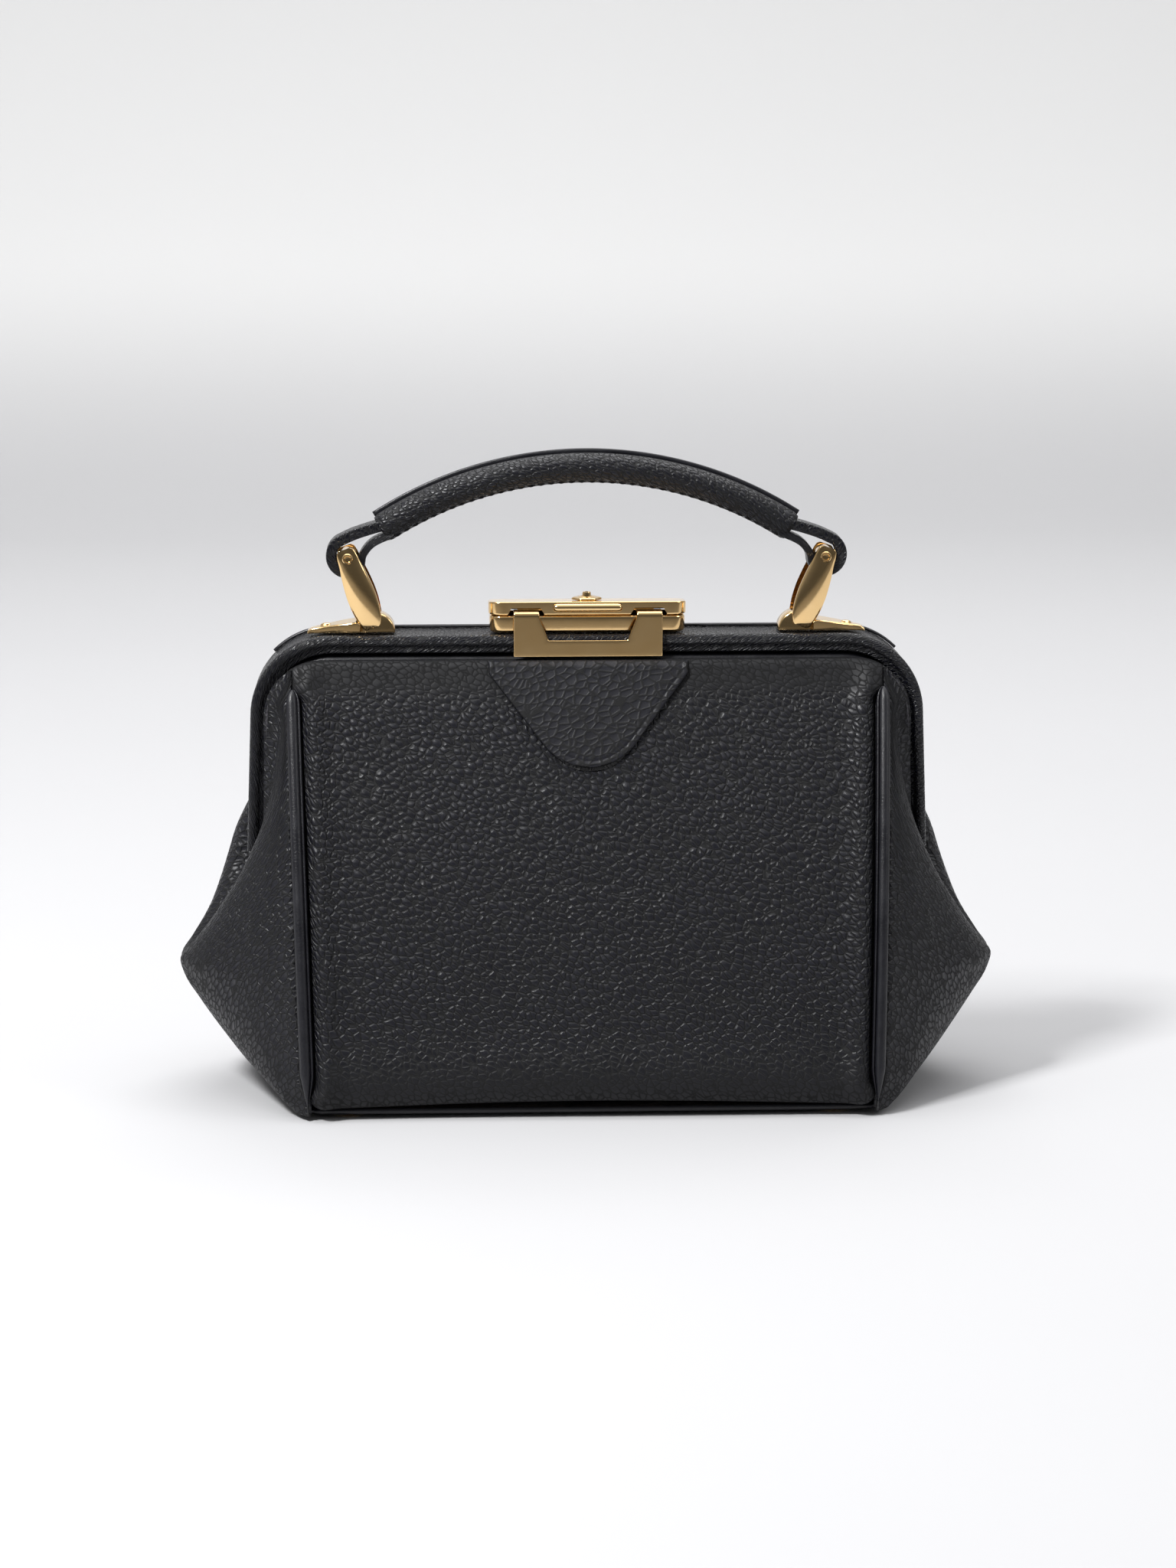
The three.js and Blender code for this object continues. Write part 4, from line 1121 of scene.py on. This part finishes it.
def make_finger_tab():
    """A rounded bar that stands out of the lid's front."""
    y, z = -LOCK_DEEP - LID_OVER - 0.9, 144.35
    rings = []
    end = [(8.8, 1.0), (9.5, 0.92), (10.0, 0.7), (10.2, 0.35)]
    for x, k in [(-x, k) for x, k in end[::-1]] + end:
        rings.append([(x, y + 1.25 * k * math.cos(a), z + 1.2 * k * math.sin(a)) for a in circle(28)])
    place(tube("finger_tab_skin", rings, [M_GOLD]), "lock_lid", "brass", "lid_finger_tab")


def make_key():
    """A six-petalled rosette on the lid with the key's round plug in its middle."""
    rings = []
    outer = [(1.6, 0.55), (4.2, 0.3), (4.25, 0.75), (3.6, 1.05)]
    inner = [(2.6, 1.0), (2.2, 1.3), (1.6, 1.3), (1.55, 1.2)]
    for r, h in outer + inner:
        depth = 0.06 if r > 3 else 0
        ring = []
        for a in circle(72):
            petal = r * (1 + depth * math.cos(6 * a))
            ring.append((petal * math.cos(a), KEY_Y + petal * math.sin(a), LID_TOP - 0.55 + h))
        rings.append(ring)
    place(tube("key_rosette_skin", rings, [M_GOLD], closed=True), "lock_lid", "brass", "key_escutcheon")
    profile = [(0.05, 142.6), (1.3, 142.6), (1.3, 147.6), (1.15, 148.0)]
    profile += [(0.5, 148.1), (0.45, 147.7), (0.05, 147.7)]
    place(lathe("key_plug_skin", (0, KEY_Y, 0), 2, profile, 32), "key_barrel", "brass", "key_plug")


def make_hasp():
    """A bent plate: flat in front of the bead, with two arms that turn back over the lock tray."""
    front, plate_low, bend_r = -11.8, 130.2, 1.3
    arm_top = 143.5
    straight = arm_top - bend_r - plate_low
    turn_length = bend_r * math.pi / 2
    back_end = straight + turn_length + (11.8 - bend_r - 4.6)
    window = 4.9
    lows = np.array([0, 1.2, 2.4, 3.6, window])
    slants = np.linspace(window, straight, 12)[1:]
    bends = np.linspace(straight, straight + turn_length, 9)[1:]
    backs = np.linspace(straight + turn_length, back_end, 5)[1:]
    lengths = np.concatenate([lows, slants, bends, backs])
    rows, keep = [], []
    for along in lengths:
        inner = mix(11.7, 14.4, min(max((along - window) / 6.8, 0), 1))
        arm = np.linspace(inner, 22.0, 7)
        xs = np.concatenate([-arm[::-1], np.linspace(-inner, inner, 9)[1:-1], arm])
        if along <= straight:
            y, z = front, plate_low + along
        elif along <= straight + turn_length:
            a = (along - straight) / bend_r
            y, z = front + bend_r * (1 - math.cos(a)), plate_low + straight + bend_r * math.sin(a)
        else:
            y, z = front + bend_r + (along - straight - turn_length), arm_top
        rows.append([(x, y, z) for x in xs])
        keep.append([True] * 6 + [along < window - 0.01] * 8 + [True] * 6)
    hasp = sheet("hasp_plate_skin", np.array(rows), 1.1, [M_GOLD], (0, -900, 400), keep=np.array(keep[:-1]))
    finish_edges(hasp, 0.3, segments=3)
    place(hasp, "front_frame", "brass", "hasp_plate")


def make_links():
    """Leaf-shaped plates, crowned in front, on each side of the handle's loops."""
    length = math.hypot(TOP_PIN[0] - BASE_PIN[0], TOP_PIN[2] - BASE_PIN[2])
    lean = math.atan2(TOP_PIN[0] - BASE_PIN[0], TOP_PIN[2] - BASE_PIN[2])
    outline = spline([(-2.5, 2.0), (-2.3, 2.35), (-1.2, 3.05), (2, 3.85), (7, 4.3), (12.5, 4.0), (17.5, 3.35),
                      (length + 1.5, 2.85), (length + 2.2, 2.6)], 6)
    outline = np.vstack([outline, [(length + 2.75, 1.95), (length + 2.85, 1.7)]])
    stops = np.concatenate([[-1, -0.985, -0.95, -0.88], np.linspace(-0.78, 0.78, 13), [0.88, 0.95, 0.985, 1]])
    offset = STRAP_WIDTH / 2 + 0.3
    for hand, sign in (("left", -1), ("right", 1)):
        for word, side in (("front", -1), ("rear", 1)):
            rings = []
            for up, half in outline:
                arch = 1.35 * math.sin(math.pi * min(max((up + 2.5) / (length + 5.3), 0), 1)) ** 0.8
                ring_out, ring_in = [], []
                for t in stops:
                    past = max(abs(t) - 0.88, 0.0) / 0.12
                    rim = 0.45 * math.sqrt(max(0.0, 1 - past**2))
                    crown = rim + arch * (1 - t * t)
                    u = t * half
                    x = BASE_PIN[0] + up * math.sin(lean) + u * math.cos(lean)
                    z = BASE_PIN[2] + up * math.cos(lean) - u * math.sin(lean)
                    ring_out.append((sign * x, HANDLE_Y + side * (offset + 0.35 + crown), z))
                    ring_in.append((sign * x, HANDLE_Y + side * offset, z))
                rings.append(ring_out + ring_in[::-1])
            plate = tube(f"{hand}_link_{word}_skin", rings, [M_GOLD])
            plate.data.set_sharp_from_angle(angle=math.radians(55))
            place(plate, f"{hand}_link", "brass", f"{hand}_link_{word}")


def rivet_profile(shaft, head, out):
    """Half of a pin with a slotted-looking dished head, from its middle outwards."""
    under = [(0.05, 0.0), (shaft, 0.0), (shaft, out - 0.9), (head, out - 0.85)]
    rim = [(head, out - 0.2), (head - 0.2, out), (head - 0.55, out)]
    return under + rim + [(head - 0.75, out - 0.5), (0.05, out - 0.52)]


def make_pins():
    reach = STRAP_WIDTH / 2 + 0.3 + 1.2 + 0.95
    for node, body, centre, head in (
        ("left_top_pin", "left_link", (-TOP_PIN[0], HANDLE_Y, TOP_PIN[2]), 1.6),
        ("right_top_pin", "right_link", (TOP_PIN[0], HANDLE_Y, TOP_PIN[2]), 1.6),
        ("left_base_pin", "rear_frame", (-BASE_PIN[0], HANDLE_Y, BASE_PIN[2]), 1.5),
        ("right_base_pin", "rear_frame", (BASE_PIN[0], HANDLE_Y, BASE_PIN[2]), 1.5),
    ):
        out = reach - 0.3 if "top" in node else reach - 1.4
        half = rivet_profile(1.25, head, out)
        profile = [(r, -h) for r, h in half[:1:-1]] + half[2:]
        pin = lathe(f"{node}_skin", centre, 1, profile, 36)
        place(pin, body, "brass", node)


def make_bases():
    """Handle mounts: a half-round lug between the links and a wing that tapers outwards along the band."""
    band = FRAME_TOP + 0.2
    lug_x = BASE_PIN[0] - 1.7
    for hand, sign in (("left", -1), ("right", 1)):
        lug_ring = arc(lug_x, band, 5.6, 0, 180, 24)
        ys = [(-1, 0.0, 0.5), (-1, 0.2, 0.15), (-1, 0.6, 0.0), (1, 0.6, 0.0), (1, 0.2, 0.15), (1, 0.0, 0.5)]
        rings = []
        for side, inset, shrink in ys:
            y = HANDLE_Y + side * (STRAP_WIDTH / 2 - inset)
            k = 1 - shrink / 5.6
            rings.append([(sign * (lug_x + (x - lug_x) * k), y, band + (z - band) * k)
                          for x, z in lug_ring])
        lug = tube(f"{hand}_handle_lug", rings, [M_GOLD])
        lug.data.set_sharp_from_angle(angle=math.radians(50))
        place(lug, "rear_frame", "brass", f"{hand}_handle_base")
        stations = []
        root = BASE_PIN[0] + 3.0
        for t in np.linspace(0, 1, 14):
            x = mix(root, 83.0, t)
            wide = mix(5.9, 2.2, smooth(t) ** 1.2)
            low = band - 0.7 * t**2
            high = low + mix(3.3, 1.4, t) - (0.5 if t in (0.0, 1.0) else 0.0)
            section = [(-wide, low), (wide, low), (wide, high - 0.35), (wide - 0.35, high)]
            section += [(-wide + 0.35, high), (-wide, high - 0.35)]
            stations.append([(sign * x, HANDLE_Y + y, z) for y, z in section])
        wing = tube(f"{hand}_handle_wing", stations, [M_GOLD])
        finish_edges(wing, 0.2)
        place(wing, "rear_frame", "brass")
        top = band + 1.35
        profile = [(0.05, -0.6), (1.7, -0.6), (1.75, 0.3), (1.4, 0.75), (0.8, 0.95), (0.05, 1.0)]
        rivet = lathe(f"{hand}_base_rivet_skin", (sign * 77.5, HANDLE_Y, top), 2, profile, 32)
        place(rivet, "rear_frame", "brass", f"{hand}_base_rivet")


def make_feet():
    for hand, sign in (("left", -1), ("right", 1)):
        for word, side in (("front", -1), ("back", 1)):
            low, high = cad(f"{hand}_{word}_foot")
            cx, cy = (low[0] + high[0]) / 2, (low[1] + high[1]) / 2
            profile = [(0.05, 0.0), (2.2, 0.02), (3.2, 0.25), (3.9, 0.8), (4.2, 1.5), (4.2, 2.1), (0.05, 2.1)]
            foot = lathe(f"{hand}_{word}_foot_skin", (cx, cy, 0), 2, profile, 40)
            place(foot, "bag", "brass", f"{hand}_{word}_foot")


# ---- Handle ----
def grip_point(turn, radial, y):
    r = GRIP_R + radial
    return (r * math.sin(turn), HANDLE_Y + y, GRIP_CENTRE_Z + r * math.cos(turn))


def sweep_grip(name, section_at, materials, half_angle=GRIP_HALF_ANGLE, steps=110):
    rings = []
    for turn in np.linspace(-half_angle, half_angle, steps):
        rings.append([grip_point(turn, radial, y) for radial, y in section_at(turn / half_angle)])
    return tube(name, rings, materials)


def make_grip():
    def oval(share):
        end = smooth((1 - abs(share)) / 0.012)
        k = 0.9 + 0.1 * end
        points = []
        for a in circle(48):
            radial, y = GRIP_HALF_HIGH * math.cos(a), GRIP_HALF_DEEP * math.sin(a)
            pinch = 0.35 * math.exp(-(((a - math.radians(180)) / 0.25) ** 2))
            points.append(((radial + pinch) * k, y * k))
        return points

    cover = sweep_grip("grip_cover_skin", oval, [M_GRIP])
    place(cover, "handle", "leather", "grip_cover", "grip_core")
    ridge = [(3.6, 1.2), (5.3, 1.35), (5.6, 1.6), (5.65, 2.0), (5.5, 2.35), (5.2, 2.6), (3.4, 2.9)]
    seam = sweep_grip("grip_seam_skin", lambda share: ridge, [M_EDGE], GRIP_HALF_ANGLE - 0.003)
    place(seam, "handle", "leather_edge", "grip_seam")


def stitch_row(name, path, spacing, radius, body, depth_axis):
    """A row of short thread stitches along a path of points, each a small bowed bead."""
    path = np.asarray(path, float)
    lengths = np.concatenate([[0], np.cumsum(np.linalg.norm(np.diff(path, axis=0), axis=1))])
    count = int(lengths[-1] / spacing)
    points, faces = [], []
    out = np.asarray(depth_axis, float)
    for k in range(count):
        a = np.array([np.interp(lengths[-1] * (k + 0.12) / count, lengths, path[:, i]) for i in range(3)])
        b = np.array([np.interp(lengths[-1] * (k + 0.88) / count, lengths, path[:, i]) for i in range(3)])
        along = (b - a) / np.linalg.norm(b - a)
        side = np.cross(along, out)
        side /= np.linalg.norm(side)
        up = np.cross(side, along)
        base = len(points)
        for i, t in enumerate(np.linspace(0, 1, 7)):
            r = radius * math.sqrt(max(0.08, math.sin(math.pi * t)))
            centre = a + (b - a) * t + up * radius * (math.sin(math.pi * t) - 0.3)
            for m in range(8):
                w = 2 * math.pi * m / 8
                points.append(centre + side * r * math.cos(w) + up * r * math.sin(w))
        for i in range(6):
            for m in range(8):
                p, q = base + i * 8 + m, base + i * 8 + (m + 1) % 8
                faces.append((p, q, q + 8, p + 8))
        faces.append(tuple(base + m for m in range(8))[::-1])
        faces.append(tuple(base + 48 + m for m in range(8)))
    row = cleaned(new_object(name, points, faces, [M_THREAD]))
    place(row, body, "leather_edge")
    return row


def make_loops():
    """Straps that leave the grip on top, wrap the bush on the top pin and come back underneath."""
    cx, cz = TOP_PIN[0], TOP_PIN[2]
    turns = [(80, 5.7), (52, 5.4), (24, 5.1), (-8, 4.8), (-40, 4.6), (-75, 4.5), (-110, 4.4), (-145, 4.4)]
    wrap = [(cx + r * math.cos(math.radians(a)), cz + r * math.sin(math.radians(a))) for a, r in turns]
    middle = spline([(GRIP_END_X - 2.6, GRIP_END_Z + 1.9), (GRIP_END_X + 3.6, GRIP_END_Z + 0.3), *wrap,
                     (cx - 4.5, cz + 0.7), (cx - 6.2, cz + 3.2), (GRIP_END_X - 3.5, GRIP_END_Z - 0.9)], 6)
    for hand, sign in (("left", -1), ("right", 1)):
        tangent = np.gradient(middle, axis=0)
        tangent /= np.linalg.norm(tangent, axis=1, keepdims=True)
        normal = np.stack([-tangent[:, 1], tangent[:, 0]], axis=1)
        rings = []
        for k, ((px, pz), (nx, nz)) in enumerate(zip(middle, normal)):
            thick = mix(1.55, 1.1, smooth((k / len(middle) - 0.55) / 0.3))
            rings.append([(sign * (px + nx * u), HANDLE_Y + v, pz + nz * u)
                          for u, v in rounded_rectangle(thick, STRAP_WIDTH / 2 - 0.05, 0.45, 4)])
        loop = tube(f"{hand}_strap_skin", rings, [M_BAND])
        loop.data.set_sharp_from_angle(angle=math.radians(60))
        place(loop, "handle", "leather", f"{hand}_strap_loop")


def make_bushes():
    for hand, sign in (("left", -1), ("right", 1)):
        end = STRAP_WIDTH / 2 - 0.1
        profile = [(2.0, -end), (2.5, -end), (2.7, -end + 0.2), (2.7, end - 0.2), (2.5, end), (2.0, end)]
        centre = (sign * TOP_PIN[0], HANDLE_Y, TOP_PIN[2])
        bush = lathe(f"{hand}_bush_skin", centre, 1, profile, 36, closed=True)
        place(bush, "handle", "brass", f"{hand}_loop_bush")


def make_grip_stitches():
    turns = np.linspace(-GRIP_HALF_ANGLE * 0.97, GRIP_HALF_ANGLE * 0.97, 160)
    low = [grip_point(t, -GRIP_HALF_HIGH * 0.86, -GRIP_HALF_DEEP * 0.52) for t in turns]
    stitch_row("grip_stitches_front", low, 3.0, 0.22, "handle", (0, -1, -1))
    low = [grip_point(t, -GRIP_HALF_HIGH * 0.86, GRIP_HALF_DEEP * 0.52) for t in turns]
    stitch_row("grip_stitches_back", low, 3.0, 0.22, "handle", (0, 1, -1))


def finish_cad_nodes():
    """Materials for the CAD pieces that show as they are."""
    finishes = {"steel": M_STEEL, "brass": M_GOLD, "board": M_BOARD, "lining_fabric": M_LINING,
                "leather": M_EDGE, "leather_edge": M_EDGE}
    for part in frame["record"]["subparts"]:
        materials = NODES[part["node"]].data.materials
        materials.clear()
        materials.append(finishes[part["material_slot"]])


make_tray()
make_lid()
make_finger_tab()
make_key()
make_hasp()
make_links()
make_pins()
make_bases()
make_feet()
make_grip()
make_loops()
make_bushes()
make_grip_stitches()
finish_cad_nodes()
